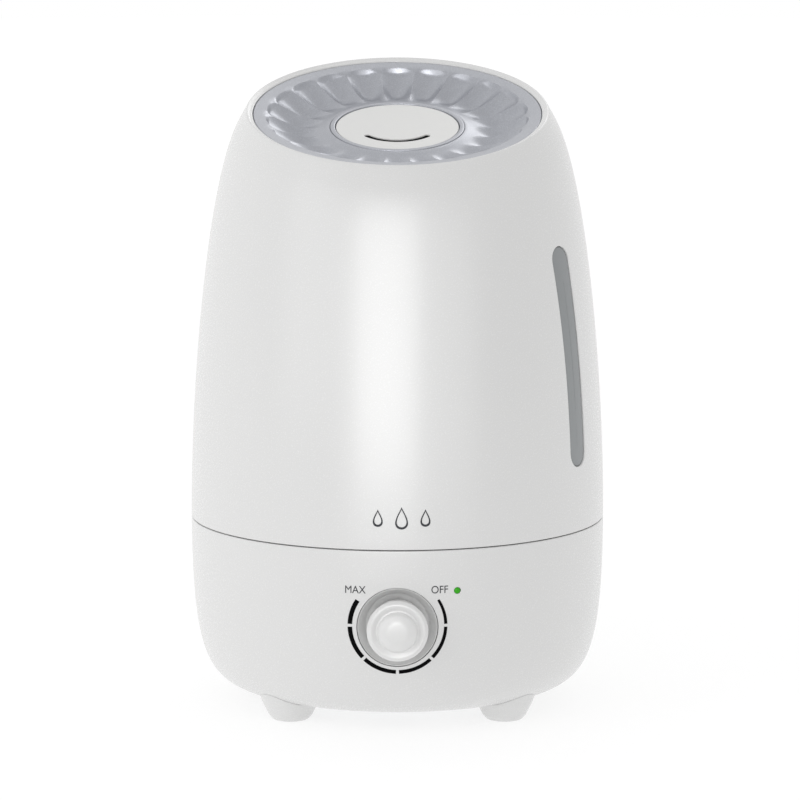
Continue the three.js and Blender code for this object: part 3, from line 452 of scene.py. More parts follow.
def join(body: BMesh, *tools: BMesh) -> BMesh:
    """Adds each tool to a solid."""
    for tool in tools:
        body = combine(body, tool, Cut.JOIN)
    return body


# ------------------------------------------------------------------ finishes


def linear(hex_color: str) -> tuple[float, float, float, float]:
    """Turns an sRGB hex colour to linear light.

    Args:
        hex_color: Six hex digits after a #.

    Returns:
        Red, green, blue and an alpha of 1.
    """
    channels = [int(hex_color[k : k + 2], 16) / 255 for k in (1, 3, 5)]
    red, green, blue = (c / 12.92 if c <= 0.04045 else ((c + 0.055) / 1.055) ** 2.4 for c in channels)
    return red, green, blue, 1.0


def add_node(tree: Tree, kind: str, settings: dict[str, Any] | None = None, **links: Any) -> Node:
    """Adds a node, sets it up and links its inputs.

    Args:
        tree: The material's node tree.
        kind: The node's type.
        settings: Values by input name or by property name.
        links: Output sockets by input name, with _ for a space.

    Returns:
        The new node.
    """
    node = tree.nodes.new(kind)
    for key, value in (settings or {}).items():
        if key in node.inputs:
            node.inputs[key].default_value = value
        else:
            setattr(node, key, value)
    for key, socket in links.items():
        tree.links.new(socket, node.inputs[key.replace("_", " ")])
    return node


def per_metre(size_mm: float) -> float:
    """Texture scale whose pattern repeats about every size_mm millimetres."""
    return 1000.0 / size_mm


def noise(tree: Tree, place: Socket, size_mm: float, detail: float) -> Socket:
    """Adds noise of a size in millimetres and gives its height."""
    settings = {"Scale": per_metre(size_mm), "Detail": detail}
    return add_node(tree, "ShaderNodeTexNoise", settings, Vector=place).outputs["Fac"]


def mapped(tree: Tree, value: Socket, span: Point, onto: Point) -> Socket:
    """Maps a value from one span onto another, held at its ends."""
    settings = {"From Min": span[0], "From Max": span[1], "To Min": onto[0], "To Max": onto[1]}
    return add_node(tree, "ShaderNodeMapRange", settings, Value=value).outputs["Result"]


@dataclass(frozen=True)
class Finish:
    """A surface as it was made. A subclass draws its pattern.

    The two tones differ a little, so that no surface is one flat colour.
    """

    name: str
    slot: str
    color: str
    tone: str
    roughness: float
    ior: float = 1.5
    metallic: float = 0.0
    subsurface: float = 0.0
    transmission: float = 0.0
    grain_mm: float = 1.0
    depth_mm: float = 0.01
    drift_mm: float = 5.0

    @cache
    def material(self) -> Material:
        """Builds the material once and gives it back each time."""
        made = bpy.data.materials.new(self.name)
        made.use_nodes = True
        tree = made.node_tree
        shader = tree.nodes["Principled BSDF"]
        shader.inputs["Base Color"].default_value = linear(self.color)
        values = {
            "Roughness": self.roughness,
            "IOR": self.ior,
            "Metallic": self.metallic,
            "Subsurface Weight": self.subsurface,
            "Subsurface Scale": 0.002,
            "Transmission Weight": self.transmission,
        }
        for key, value in values.items():
            shader.inputs[key].default_value = value
        made.diffuse_color = linear(self.color)
        place = add_node(tree, "ShaderNodeTexCoord").outputs["Object"]
        self.dress(tree, shader, place)
        return made

    def dress(self, tree: Tree, shader: Node, place: Socket) -> None:
        """Draws the pattern; a plain finish has the two tones and the grain.

        Args:
            tree: The material's node tree.
            shader: Its surface shader.
            place: Object coordinates.
        """
        self.tint(tree, shader, place, self.drift_mm)
        self.emboss(tree, shader, noise(tree, place, self.grain_mm, 3.0))

    def tint(self, tree: Tree, shader: Node, place: Socket, size_mm: float) -> None:
        """Drifts between the two tones over a size in millimetres, and the roughness with it."""
        drift = noise(tree, place, size_mm, 4.0)
        self.blend(tree, shader, drift, self.tone)
        sheen = mapped(tree, drift, (0.3, 0.7), (self.roughness * 0.97, self.roughness * 1.03))
        tree.links.new(sheen, shader.inputs["Roughness"])

    def blend(self, tree: Tree, shader: Node, share: Socket, other: str) -> None:
        """Colours the surface between the finish's own colour and another, by a share."""
        mix = add_node(tree, "ShaderNodeMix", {"data_type": "RGBA"})
        mix.inputs[6].default_value = linear(self.color)
        mix.inputs[7].default_value = linear(other)
        tree.links.new(share, mix.inputs[0])
        tree.links.new(mix.outputs[2], shader.inputs["Base Color"])

    def emboss(self, tree: Tree, shader: Node, height: Socket, sunk: bool = False) -> None:
        """Raises or sinks the surface by a height pattern of the finish's own depth."""
        settings = {"Distance": self.depth_mm * MM, "Strength": 1.0, "invert": sunk}
        bump = add_node(tree, "ShaderNodeBump", settings, Height=height)
        tree.links.new(bump.outputs["Normal"], shader.inputs["Normal"])


@dataclass(frozen=True)
class FlakePaint(Finish):
    """Sprayed metallic paint with fine flakes and a little orange peel."""

    def dress(self, tree: Tree, shader: Node, place: Socket) -> None:
        """Draws flakes as small cells, coarser than the real ones so that they show.

        Args:
            tree: The material's node tree.
            shader: Its surface shader.
            place: Object coordinates.
        """
        flakes = add_node(tree, "ShaderNodeTexVoronoi", {"Scale": per_metre(self.grain_mm)}, Vector=place)
        self.blend(tree, shader, flakes.outputs["Distance"], self.tone)
        self.emboss(tree, shader, noise(tree, place, 2.5, 2.0))


@dataclass(frozen=True)
class BrushedMetal(Finish):
    """Metal with fine lines left by brushing, turning or drawing."""

    def dress(self, tree: Tree, shader: Node, place: Socket) -> None:
        """Draws the lines as noise stretched along X.

        Args:
            tree: The material's node tree.
            shader: Its surface shader.
            place: Object coordinates.
        """
        self.tint(tree, shader, place, 6.0)
        stretched = add_node(tree, "ShaderNodeMapping", {"Scale": (0.04, 1.0, 1.0)}, Vector=place)
        self.emboss(tree, shader, noise(tree, stretched.outputs["Vector"], self.grain_mm, 2.0))


@dataclass(frozen=True)
class CellFoam(Finish):
    """Foam: open or closed cells with dark pores between the struts."""

    pore: str = "#101010"

    def dress(self, tree: Tree, shader: Node, place: Socket) -> None:
        """Draws the cells.

        Args:
            tree: The material's node tree.
            shader: Its surface shader.
            place: Object coordinates.
        """
        settings = {"feature": "DISTANCE_TO_EDGE", "Scale": per_metre(self.grain_mm)}
        cells = add_node(tree, "ShaderNodeTexVoronoi", settings, Vector=place)
        wall = mapped(tree, cells.outputs["Distance"], (0.02, 0.25), (0.0, 1.0))
        self.blend(tree, shader, wall, self.pore)
        self.emboss(tree, shader, wall, True)


@dataclass(frozen=True)
class SolderMask(Finish):
    """Printed circuit board: green mask over copper tracks."""

    copper: str = "#4E8A52"

    def dress(self, tree: Tree, shader: Node, place: Socket) -> None:
        """Draws the tracks as the joints of a coarse brick pattern.

        Args:
            tree: The material's node tree.
            shader: Its surface shader.
            place: Object coordinates.
        """
        tracks = add_node(
            tree, "ShaderNodeTexBrick",
            {
                "Color1": linear(self.color),
                "Color2": linear(self.tone),
                "Mortar": linear(self.copper),
                "Scale": per_metre(self.grain_mm),
                "Mortar Size": 0.09,
                "Brick Width": 1.4,
                "Row Height": 0.35,
            },
            Vector=place,
        )
        tree.links.new(tracks.outputs["Color"], shader.inputs["Base Color"])
        self.emboss(tree, shader, tracks.outputs["Fac"])


@dataclass(frozen=True)
class LitSurface(Finish):
    """A surface that also glows evenly, such as a lamp's lens."""

    glow: float = 1.0

    def dress(self, tree: Tree, shader: Node, place: Socket) -> None:
        """Lights the surface from within.

        Args:
            tree: The material's node tree.
            shader: Its surface shader.
            place: Object coordinates.
        """
        super().dress(tree, shader, place)
        shader.inputs["Emission Color"].default_value = linear(self.tone)
        shader.inputs["Emission Strength"].default_value = self.glow


# ABS off a polished mould: glossy, with the faintest orange peel.
GLOSS_ABS = Finish(
    "gloss_moulded_abs", "white_abs", "#DCDCDB", "#DBDBDB", 0.27, 1.54,
    grain_mm=2.6, depth_mm=0.0006, drift_mm=0.6,
)
# The same ABS on the knob and its dish.
DIAL_ABS = Finish(
    "satin_moulded_abs", "white_abs", "#DEDEDD", "#DCDCDC", 0.3, 1.54,
    grain_mm=1.2, depth_mm=0.002,
)
# ABS off a spark-eroded mould: satin, light grey.
INNER_ABS = Finish(
    "satin_inner_abs", "inner_abs", "#DADBDC", "#D4D6D8", 0.42, 1.54,
    grain_mm=0.8, depth_mm=0.012,
)
# Silver-grey metallic paint over ABS: satin, with fine flakes.
SILVER = FlakePaint(
    "silver_flake_paint", "silver_paint", "#9C9EA4", "#B4B6BC", 0.36,
    metallic=0.6, grain_mm=0.5, depth_mm=0.004,
)
# Smoke-grey polycarbonate, tinted so deep that little light comes through.
SMOKE = Finish(
    "smoke_polycarbonate", "smoke_clear", "#8A8D8F", "#868A8B", 0.2, 1.58,
    transmission=0.06, grain_mm=3.0, depth_mm=0.002,
)
DISC_ABS = Finish(
    "satin_disc_abs", "disc_white", "#DEDEDC", "#DCDCDB", 0.4, 1.54,
    grain_mm=0.7, depth_mm=0.01,
)
RUBBER = Finish(
    "moulded_rubber", "black_rubber", "#1D1D1F", "#2A2A2C", 0.8, 1.52,
    grain_mm=0.6, depth_mm=0.03,
)
# Silicone is milky: light travels a little way in.
SILICONE = Finish(
    "silicone_rubber", "silicone", "#CFD2D2", "#C6CBCB", 0.5, 1.41,
    subsurface=0.3, grain_mm=0.8, depth_mm=0.01,
)
STEEL = BrushedMetal(
    "plated_steel", "steel", "#AEB1B4", "#9EA2A6", 0.3,
    metallic=1.0, grain_mm=0.3, depth_mm=0.006,
)
PLATING = BrushedMetal(
    "nickel_plating", "transducer_plating", "#BFA260", "#CBB175", 0.24,
    metallic=1.0, grain_mm=0.25, depth_mm=0.004,
)
BOARD = SolderMask(
    "solder_mask_board", "circuit_board", "#2B6338", "#2F6B3C", 0.4,
    grain_mm=6.0, depth_mm=0.03,
)
BLACK = Finish(
    "black_glass_filled_plastic", "black_plastic", "#222326", "#2A2B2E", 0.5,
    grain_mm=0.5, depth_mm=0.02,
)
ALUMINIUM = BrushedMetal(
    "extruded_aluminium", "aluminium", "#B5B8BB", "#A4A8AC", 0.36,
    metallic=1.0, grain_mm=0.4, depth_mm=0.01,
)
LENS = LitSurface(
    "lit_green_lens", "green_lens", "#2F9A12", "#34A010", 0.3, 1.3,
    grain_mm=0.5, depth_mm=0.002, glow=0.12,
)
FILTER = CellFoam(
    "filter_foam", "filter_foam", "#4A4C4F", "#3E4043", 0.95,
    grain_mm=1.3, depth_mm=0.4,
)
FLOAT_FOAM = CellFoam(
    "float_foam", "float_foam", "#E9E4D2", "#DDD7C2", 0.8,
    grain_mm=0.6, depth_mm=0.05, pore="#CFC8B2",
)
# Pad-printed ink: a thin satin film.
BLACK_INK = Finish(
    "black_pad_print", "black_plastic", "#020203", "#030304", 0.7, 1.12,
    grain_mm=0.3, depth_mm=0.003,
)
GREY_INK = Finish(
    "grey_pad_print", "black_plastic", "#3E3F43", "#434448", 0.6, 1.2,
    grain_mm=0.3, depth_mm=0.003,
)

# ------------------------------------------------------------------ bench


@dataclass(frozen=True)
class Bench:
    """Puts finished meshes into the frame as pieces."""

    axis_y: float  # the body axis in the frame, in metres
    flat_degrees: float = 2.0
    sharp_degrees: float = 40.0

    def add(
        self,
        name: str,
        shape: BMesh,
        finish: Finish,
        body: Body,
        stands_for: Sequence[str] = (),
        crease: float = 34.0,
        weighted: bool = False,
    ) -> Object:
        """Makes a piece from a mesh.

        Args:
            name: The piece's name.
            shape: Its mesh in millimetres about the body axis, which is used up.
            finish: Its surface.
            body: The body that it rides on.
            stands_for: CAD nodes that it takes the place of.
            crease: Edges sharper than this many degrees stay crisp.
            weighted: True to let large faces lead the shading.

        Returns:
            The new piece.
        """
        bmesh.ops.scale(shape, vec=(MM, MM, MM), verts=shape.verts)
        bmesh.ops.translate(shape, vec=(0, self.axis_y, 0), verts=shape.verts)
        for face in shape.faces:
            face.smooth = True
        mesh = bpy.data.meshes.new(name)
        shape.to_mesh(mesh)
        shape.free()
        mesh.set_sharp_from_angle(angle=math.radians(crease))
        piece = bpy.data.objects.new(name, mesh)
        bpy.context.scene.collection.objects.link(piece)
        mesh.materials.append(finish.material())
        if weighted:
            even = piece.modifiers.new("even_shading", "WEIGHTED_NORMAL")
            even.keep_sharp = True
        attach(piece, body.value)
        if stands_for:
            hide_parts(*stands_for)
        log.info("%s: %d faces on %s", name, len(mesh.polygons), body.value)
        return piece

    def refine(self, node: str, finish: Finish, body: Body, bevel: float) -> Object:
        """Makes a fine piece from a CAD node: its facets merged and its edges rounded.

        Args:
            node: The CAD node.
            finish: The piece's surface.
            body: The body that it rides on.
            bevel: Radius of its edges.

        Returns:
            The new piece, which stands for the node.
        """
        shape = bmesh.new()
        shape.from_mesh(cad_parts[node].data)
        bmesh.ops.translate(shape, vec=(0, -self.axis_y, 0), verts=shape.verts)
        bmesh.ops.scale(shape, vec=(1 / MM, 1 / MM, 1 / MM), verts=shape.verts)
        bmesh.ops.remove_doubles(shape, verts=shape.verts, dist=0.01)
        bmesh.ops.dissolve_limit(
            shape, angle_limit=math.radians(self.flat_degrees), verts=shape.verts, edges=shape.edges,
            use_dissolve_boundaries=False,
        )
        least = math.radians(self.sharp_degrees)
        sharp = [edge for edge in shape.edges if edge.is_manifold and edge.calc_face_angle() > least]
        soften(shape, sharp, bevel)
        return self.add(f"{node}_fine", shape, finish, body, (node,), self.sharp_degrees)


# ------------------------------------------------------------------ outer skin


@dataclass(frozen=True)
class Skin:
    """The outer surface that the shells, prints and fittings share."""

    body_radius: float = 105.0
    seam: float = 95.0
    rim_height: float = 300.0
    rim_radius: float = 72.8
    tilt: float = 17.2
    lean_start: float = 120.0
    flat_radius: float = 73.0
    clearance: float = 9.0
    steps: int = 192

    def base(self, steps: int = 40) -> list[Point]:
        """Profile of the base, from the flat underside to the seam."""
        return bezier(
            (self.flat_radius, self.clearance),
            (self.body_radius - 7, self.clearance),
            (self.body_radius, self.clearance + 16),
            (self.body_radius, self.seam),
            steps,
        )

    @property
    def shoulder(self) -> Point:
        """Where the wall turns over towards the rim."""
        return self.rim_radius + 7.7, self.rim_height - 7.2

    def wall(self, steps: int = 70) -> list[Point]:
        """Profile of the tank's wall, before it leans."""
        return bezier(
            (self.body_radius, self.seam),
            (self.body_radius, self.seam + 66.6),
            (self.rim_radius + 23.2, self.rim_height - 34.6),
            self.shoulder,
            steps,
        )

    def lip(self, steps: int = 14) -> list[Point]:
        """Profile from the shoulder over to the rim."""
        across, up = self.shoulder
        return bezier(
            (across, up), (across - 6.7, up + 11.9), (self.rim_radius + 4.3, self.rim_height),
            (self.rim_radius, self.rim_height), steps,
        )

    def lean(self, point: Vector) -> Vector:
        """Tilts the level sections more and more towards the rim."""
        turn = math.radians(self.tilt) * smoothstep(point.z, self.lean_start, self.rim_height)
        return Vector((point.x, point.y * math.cos(turn), point.z + point.y * math.sin(turn)))

    def on_top(self, shape: BMesh) -> BMesh:
        """Puts a shape drawn about the rim's axis, rim plane at 0, onto the slanted top."""
        return moved(turned(shape, self.tilt, "X"), z=self.rim_height)

    def base_radius(self, height: float) -> float:
        """Radius of the base's skin at a height."""
        points = self.base()
        for (r0, z0), (r1, z1) in zip(points, points[1:]):
            if z1 >= height:
                return r0 + (r1 - r0) * (height - z0) / (z1 - z0)
        return self.body_radius

    @cache
    def tree(self, of_tank: bool) -> BVHTree:
        """The tank's or the base's outer surface, ready to be measured."""
        if of_tank:
            profile = [(0, self.seam), *self.wall(), *self.lip()[1:], (0, self.rim_height)]
            shape = reshape(spin(profile, 2 * self.steps), self.lean)
        else:
            shape = spin([(0, self.clearance), *self.base(), (0, self.seam)], 2 * self.steps)
        surface = BVHTree.FromBMesh(shape)
        shape.free()
        return surface

    def wrap(self, shape: BMesh, of_tank: bool, bearing: float) -> BMesh:
        """Lays a flat shape on the skin, as it looks from one side.

        Args:
            shape: X is across, Y is the height and Z is how far it stands proud.
            of_tank: True for the tank's skin and False for the base's.
            bearing: Degrees from the front towards +X.

        Returns:
            The same shape on the skin.
        """
        turn = Matrix.Rotation(math.radians(bearing), 3, "Z")
        inwards = turn @ Vector((0, 1, 0))
        surface = self.tree(of_tank)

        def lay(point: Vector) -> Vector:
            start = turn @ Vector((point.x, -2 * self.body_radius, point.y))
            hit = surface.ray_cast(start, inwards)[0]
            return (hit if hit else start) - inwards * point.z

        return reshape(shape, lay)

    def depth_at(self, across: float, height: float) -> float:
        """Distance from the body axis to the base's skin, seen from the front."""
        start = Vector((across, -2 * self.body_radius, height))
        hit = self.tree(False).ray_cast(start, Vector((0, 1, 0)))[0]
        return -hit.y if hit else self.base_radius(height)


def flared(outline: Outline, edge: float, deep: float, proud: float = 3.0) -> BMesh:
    """A tool that cuts an opening with a rounded outer edge.

    Args:
        outline: The opening's outline, grown by the number given.
        edge: Radius of the rounded edge.
        deep: How far the tool reaches in.
        proud: How far it stands out.

    Returns:
        The flat tool, its face at Z = 0.
    """
    levels = [(-deep, 0.0), (-edge, 0.0)]
    for degrees in ARC_DEGREES:
        turn = math.radians(degrees)
        levels.append((-edge * (1 - math.sin(turn)), edge * (1 - math.cos(turn))))
    levels.append((proud, levels[-1][1]))
    return loft([[Vector((x, y, z)) for x, y in outline(grow)] for z, grow in levels])


def pillow(outline: Outline, edge: float, thick: float, steps: Sequence[float]) -> BMesh:
    """A flat lens with a rounded outer edge.

    Args:
        outline: Its outline, grown by the number given.
        edge: Radius of the rounded edge.
        thick: Its thickness, below Z = 0.
        steps: How far in from the edge each further ring of its faces lies.

    Returns:
        The flat lens.
    """
    front = []
    for degrees in (0, 30, 60, 90):
        turn = math.radians(degrees)
        front.append((-edge * (1 - math.sin(turn)), -edge * (1 - math.cos(turn))))
    rings = [(-thick, -step) for step in reversed(steps)] + [(-thick, 0.0)] + front
    rings += [(0.0, -step) for step in steps]
    return loft([[Vector((x, y, z)) for x, y in outline(grow)] for z, grow in rings])


# ------------------------------------------------------------------ tank


@dataclass(frozen=True)
class Tank:
    """The lift-off tank: wall, level window, floor and mist chimney."""

    skin: Skin
    bench: Bench
    wall: float = 2.8
    window_bearing: float = 59.5
    window_width: float = 15.0
    window_bottom: float = 127.5
    window_top: float = 236.5
    window_recess: float = 0.7
    floor_height: float = 98.0
    floor_thickness: float = 2.4
    chimney_wall: float = 1.8
    chamber_radius: float = 30.0
    chamber_skirt: float = 14.0
    neck_bore: float = 16.5
    neck_wall: float = 2.5
    neck_length: float = 15.0
    filler_offset: float = 58.5
    chimney_y: float = 7.127
    threads: int = 3
    thread_start: float = 2.2
    thread_pitch: float = 2.6
    thread_rise: float = 0.35
    rib_bearings: tuple[float, ...] = (35, 90, 145, 215, 325)

    def slot(self, grow: float) -> list[Point]:
        """The window slot's outline."""
        return stadium(self.window_width, self.window_bottom, self.window_top, grow)

    def shell(self) -> BMesh:
        """The outer shell, with its mouth and window slot cut."""
        skin = self.skin
        bottom = skin.seam + SEAM_GAP
        roof = skin.rim_height - SHELF_DEPTH - 2.6
        inside = [p for p in inset(skin.wall(), self.wall) if bottom < p[1] < roof - 3]
        inner = skin.body_radius - self.wall
        rim = [(inner, bottom + 4), (inner, bottom, 0.4)]
        rim += [(skin.body_radius, bottom, 0.5), (skin.body_radius, bottom + 4)]
        profile = [
            (inner, bottom + 4),
            *rounded(rim, 4, False)[1:],
            *[p for p in skin.wall() if p[1] > bottom + 4.5],
            *skin.lip()[1:],
            (0, skin.rim_height),
            (0, roof),
            (inside[-1][0] - 3, roof),
            *[p for p in reversed(inside) if p[1] > bottom + 4.5],
        ]
        body = reshape(spin(profile, skin.steps), skin.lean)
        shelf = skin.rim_radius - SHELF_WIDTH
        edge = 0.7
        mouth = [(0, -SHELF_DEPTH - 20), (shelf, -SHELF_DEPTH - 20), (shelf, -SHELF_DEPTH)]
        mouth += [(skin.rim_radius, -SHELF_DEPTH), (skin.rim_radius, -edge)]
        for degrees in ARC_DEGREES:
            turn = math.radians(degrees)
            mouth.append((skin.rim_radius + edge * (1 - math.cos(turn)), -edge * (1 - math.sin(turn))))
        mouth += [(mouth[-1][0], 20), (0, 20)]
        window = skin.wrap(flared(self.slot, 0.6, 9.0), True, self.window_bearing)
        return carve(body, skin.on_top(spin(mouth, skin.steps)), window)

    def window(self) -> BMesh:
        """The level window, a little below the wall."""
        steps = (1.0, 2.2, 3.6, 5.0, 6.2, 7.1)
        thick = self.wall - self.window_recess
        lens = pillow(lambda grow: self.slot(grow - GAP), 0.5, thick, steps)
        return self.skin.wrap(moved(lens, z=-self.window_recess), True, self.window_bearing)

    def floor(self) -> BMesh:
        """The moulded floor: plate, locating skirt, mist chamber and filler neck."""
        outer = self.skin.body_radius - self.wall - GAP
        low, top = self.floor_height, self.floor_height + self.floor_thickness
        skirt = outer - 2.2
        foot = DECK_HEIGHT + 1
        corners = [
            (0, low), (skirt - 2, low, 1.0), (skirt - 2, foot, 0.8), (skirt, foot, 0.8),
            (skirt, low, 0.6), (outer, low, 0.4), (outer, top, 0.4), (0, top),
        ]
        plate = spin(rounded(corners, 3, False), 128)
        roof = top - 0.2
        chamber_outer = self.chamber_radius + self.chimney_wall
        chamber = ring(chamber_outer, self.chamber_radius - 2, low - self.chamber_skirt, roof, 0.7, 96)
        neck_outer, mouth = self.neck_bore + self.neck_wall, low - self.neck_length
        neck = [ring(neck_outer, self.neck_bore - 2, mouth, roof, 0.7)]
        for k in range(self.threads):
            thread = mouth + self.thread_start + self.thread_pitch * k
            neck.append(ring(neck_outer + self.thread_rise, self.neck_bore, thread, thread + 1.0, 0.35))
        ribs = [
            turned(block((67, 0, low - 1.2), (42, 1.8, 3.4), 0.3), degrees)
            for degrees in self.rib_bearings
        ]
        whole = join(
            plate,
            moved(chamber, y=self.chimney_y),
            *[moved(part, x=-self.filler_offset) for part in neck],
            *ribs,
        )
        return carve(
            whole,
            moved(rod(self.chamber_radius, 0, top + 1, 0, 96), y=self.chimney_y),
            moved(rod(self.neck_bore, 0, top + 1, 0, 64), x=-self.filler_offset),
        )

    def build(self) -> None:
        """Makes the tank's pieces."""
        self.bench.add("tank_wall", self.shell(), GLOSS_ABS, Body.TANK, ("tank_shell",), weighted=True)
        self.bench.add("level_lens", self.window(), SMOKE, Body.TANK, ("level_window",))
        self.bench.add("tank_underside", self.floor(), INNER_ABS, Body.TANK, ("tank_floor",))
        self.bench.refine("mist_chimney", INNER_ABS, Body.TANK, 0.3)
        self.bench.refine("chimney_seal", SILICONE, Body.TANK, 0.3)
        self.bench.refine("ring_seal", SILICONE, Body.TANK, 0.3)


@dataclass(frozen=True)
class SlantedTop:
    """The dished silver ring, and the nozzle that lifts out of its socket."""

    skin: Skin
    bench: Bench
    band: float = 6.6
    flutes: int = 22
    flute_depth: float = 4.4
    flute_end: float = 66.3
    flute_inner: float = 38.4
    flute_bow: float = 2.6
    dish_depth: float = 9.6
    disc_radius: float = 31.0
    disc_recess: float = 8.3
    disc_thickness: float = 2.1
    socket_radius: float = 34.0
    socket_depth: float = 13.0
    socket_end: float = 22.0
    ring_thickness: float = 2.2
    nozzle_bore: float = 25.0
    tube_wall: float = 2.2
    slit_radius: float = 19.5
    slit_width: float = 3.2
    plate: float = 0.7
    slit_half_angle: float = 50.0

    @property
    def outer(self) -> float:
        """Outer radius of the ring."""
        return self.skin.rim_radius - GAP

    def dish(self, radius: float) -> float:
        """Height of the dish at a radius, its flutes left out."""
        edge = self.outer - self.band
        low = self.flute_inner + 2
        if radius >= edge:
            return -0.5 - 0.9 * (self.outer - radius) / self.band
        if radius <= low:
            rise = smoothstep(low - radius, 0, low - self.socket_radius)
            return -self.dish_depth + rise * (self.dish_depth - self.disc_recess)
        share = (edge - radius) / (edge - low)
        return -1.4 - (self.dish_depth - 1.4) * math.sin(share * math.pi / 2)

    def flute(self, radius: float, across: float, end: float) -> float:
        """Depth of a flute: full near its outer end, running out towards the disc.

        Args:
            radius: Distance from the ring's axis.
            across: Place across the flute, from -1 to 1.
            end: Radius of the flute's outer end at this place.

        Returns:
            The depth below the dish.
        """
        if not self.flute_inner < radius < end:
            return 0.0
        along = (radius - self.flute_inner) / (self.flute_end - self.flute_inner)
        length = smoothstep(along, 0, 0.5) * (1 - 0.45 * smoothstep(along, 0.5, 1))
        length *= smoothstep(end - radius, 0, 1.5)
        return self.flute_depth * math.cos(across * math.pi / 2) * length

    def fluted(self, point: Vector) -> Vector:
        """Presses the flutes into the ring's upper side."""
        radius = math.hypot(point.x, point.y)
        if radius < self.flute_inner or abs(point.z - self.dish(radius)) > 0.01:
            return point
        angle = math.atan2(point.x, -point.y)
        across = math.remainder(angle * self.flutes / math.tau, 1.0) * 2
        end = self.flute_end - self.flute_bow * (1 - math.sqrt(max(0.0, 1 - across * across)))
        smooth = self.outer - 2.6
        if radius <= self.flute_end:
            share = (radius - self.flute_inner) / (self.flute_end - self.flute_inner)
            shifted = self.flute_inner + share * (end - self.flute_inner)
        elif radius < smooth:
            share = (radius - self.flute_end) / (smooth - self.flute_end)
            shifted = end + share * (smooth - end)
        else:
            shifted = radius
        height = self.dish(shifted) - self.flute(shifted, across, end)
        return Vector((point.x * shifted / radius, point.y * shifted / radius, height))

    def dished_ring(self) -> BMesh:
        """The ring, with its flutes and the socket for the nozzle."""
        edge = self.outer - self.band
        near = [self.flute_end - step for step in (0.0, 0.5, 1.0, 1.6, 2.2, 2.9, 3.6, 4.6)]
        span = near[-1] - self.flute_inner
        far = [near[-1] - span * (k + 1) / 18 for k in range(18)]
        across = [self.outer - step for step in (0.35, 1.2, 2.6)]
        across += [self.flute_end + step for step in (2.6, 1.2)]
        inner = [self.flute_inner - 0.6 * k for k in range(1, 8)]
        top = [(radius, self.dish(radius)) for radius in across + near + far + inner]
        under = self.ring_thickness + self.flute_depth
        seat = -SHELF_DEPTH + 2 * GAP + 1.3
        inward = self.skin.rim_radius - SHELF_WIDTH - GAP
        tube = self.nozzle_bore + self.tube_wall + GAP
        bore = CHIMNEY_BORE - 0.5
        lower = [
            (self.socket_radius, -self.disc_recess - 0.6, 0.3),
            (self.socket_radius, -self.socket_depth, 0.5),
            (tube, -self.socket_depth, 0.4),
            (tube, -self.socket_end + self.ring_thickness, 0.4),
            (bore, -self.socket_end + self.ring_thickness, 0.4),
            (bore, -self.socket_end, 0.3),
            (bore + 8.5, -self.socket_end, 0.3),
            (bore + 8.5, -self.socket_depth - self.ring_thickness, 0.5),
            (self.flute_inner + 6, -self.socket_depth - self.ring_thickness, 0.5),
            (edge - 9, self.dish(edge - 9) - under),
            (inward, self.dish(inward) - under),
            (inward, seat),
            (self.outer, seat, 0.2),
        ]
        profile = top + rounded(lower, 3, False) + [(self.outer, self.dish(self.outer) - 0.35)]
        return reshape(spin(profile, self.flutes * 18), self.fluted)

    def collar(self) -> BMesh:
        """The nozzle's collar, which stays in the socket while the disc turns."""
        outer = self.socket_radius - 0.06
        seat = -self.disc_recess - self.disc_thickness - GAP
        foot = -self.socket_depth + GAP
        end = -self.socket_end + self.ring_thickness + 1
        neck = self.nozzle_bore + self.tube_wall
        pocket = self.disc_radius + GAP + 0.15
        face = -self.disc_recess + 0.4
        corners = [
            (self.nozzle_bore, end, 0.4), (neck, end, 0.4), (neck, foot, 0.3), (outer, foot, 0.4),
            (outer, face, 0.45), (pocket, face, 0.45), (pocket, seat, 0.2), (self.nozzle_bore, seat, 0.2),
        ]
        return spin(rounded(corners, 4), 144)

    def slit(self, grow: float) -> list[Point]:
        """The outlet slit's outline: an arc with round ends, across the front."""
        half = self.slit_width / 2 + grow
        reach = math.radians(self.slit_half_angle)
        steps, turns = 28, 8
        points = []
        for side, radius in ((1, self.slit_radius + half), (-1, self.slit_radius - half)):
            for k in range(steps):
                points.append(polar(radius, side * (reach * (2 * k / steps - 1)) - math.pi / 2))
            end = side * reach - math.pi / 2
            middle = Vector(polar(self.slit_radius, end))
            for k in range(turns):
                x, y = polar(half, end + (0 if side > 0 else math.pi) + math.pi * k / turns)
                points.append((middle.x + x, middle.y + y))
        return points

    def disc(self) -> BMesh:
        """The turning disc with its outlet slit and skirt."""
        under = -self.disc_recess - self.disc_thickness
        skirt = self.nozzle_bore - GAP
        end = -self.socket_end + self.ring_thickness + 2
        top = -self.disc_recess
        thin = top - self.plate
        inner = skirt - 1.7
        corners = [
            (0, thin), (inner, thin, 0.3), (inner, end, 0.3), (skirt, end, 0.4), (skirt, under, 0.3),
            (self.disc_radius, under, 0.3), (self.disc_radius, top, 0.5), (0, top),
        ]
        plate = spin(rounded(corners, 4, False), 144)
        return carve(plate, moved(flared(self.slit, 0.3, 6.0), z=top))

    def painted_slit_shade(self) -> BMesh:
        """A black plate under the slit: painted shade that makes the slit read dark."""
        under = -self.disc_recess - self.plate
        return rod(self.nozzle_bore - 3.2, under - 1.9, under - 0.9, 0.2, 96)

    def build(self) -> None:
        """Makes the slanted top's pieces."""
        add, on_top = self.bench.add, self.skin.on_top
        add("silver_ring", on_top(self.dished_ring()), SILVER, Body.TANK, ("fluted_ring",), 38)
        add("socket_collar", on_top(self.collar()), SILVER, Body.NOZZLE, ("nozzle_collar",))
        # A black plate under the slit stands in for the shade inside it: painted shade, not a working
        # part.
        add("outlet_painted_slit_shade", on_top(self.painted_slit_shade()), BLACK, Body.OUTLET)
        add("outlet_disc", on_top(self.disc()), DISC_ABS, Body.OUTLET, ("nozzle_disc",), weighted=True)


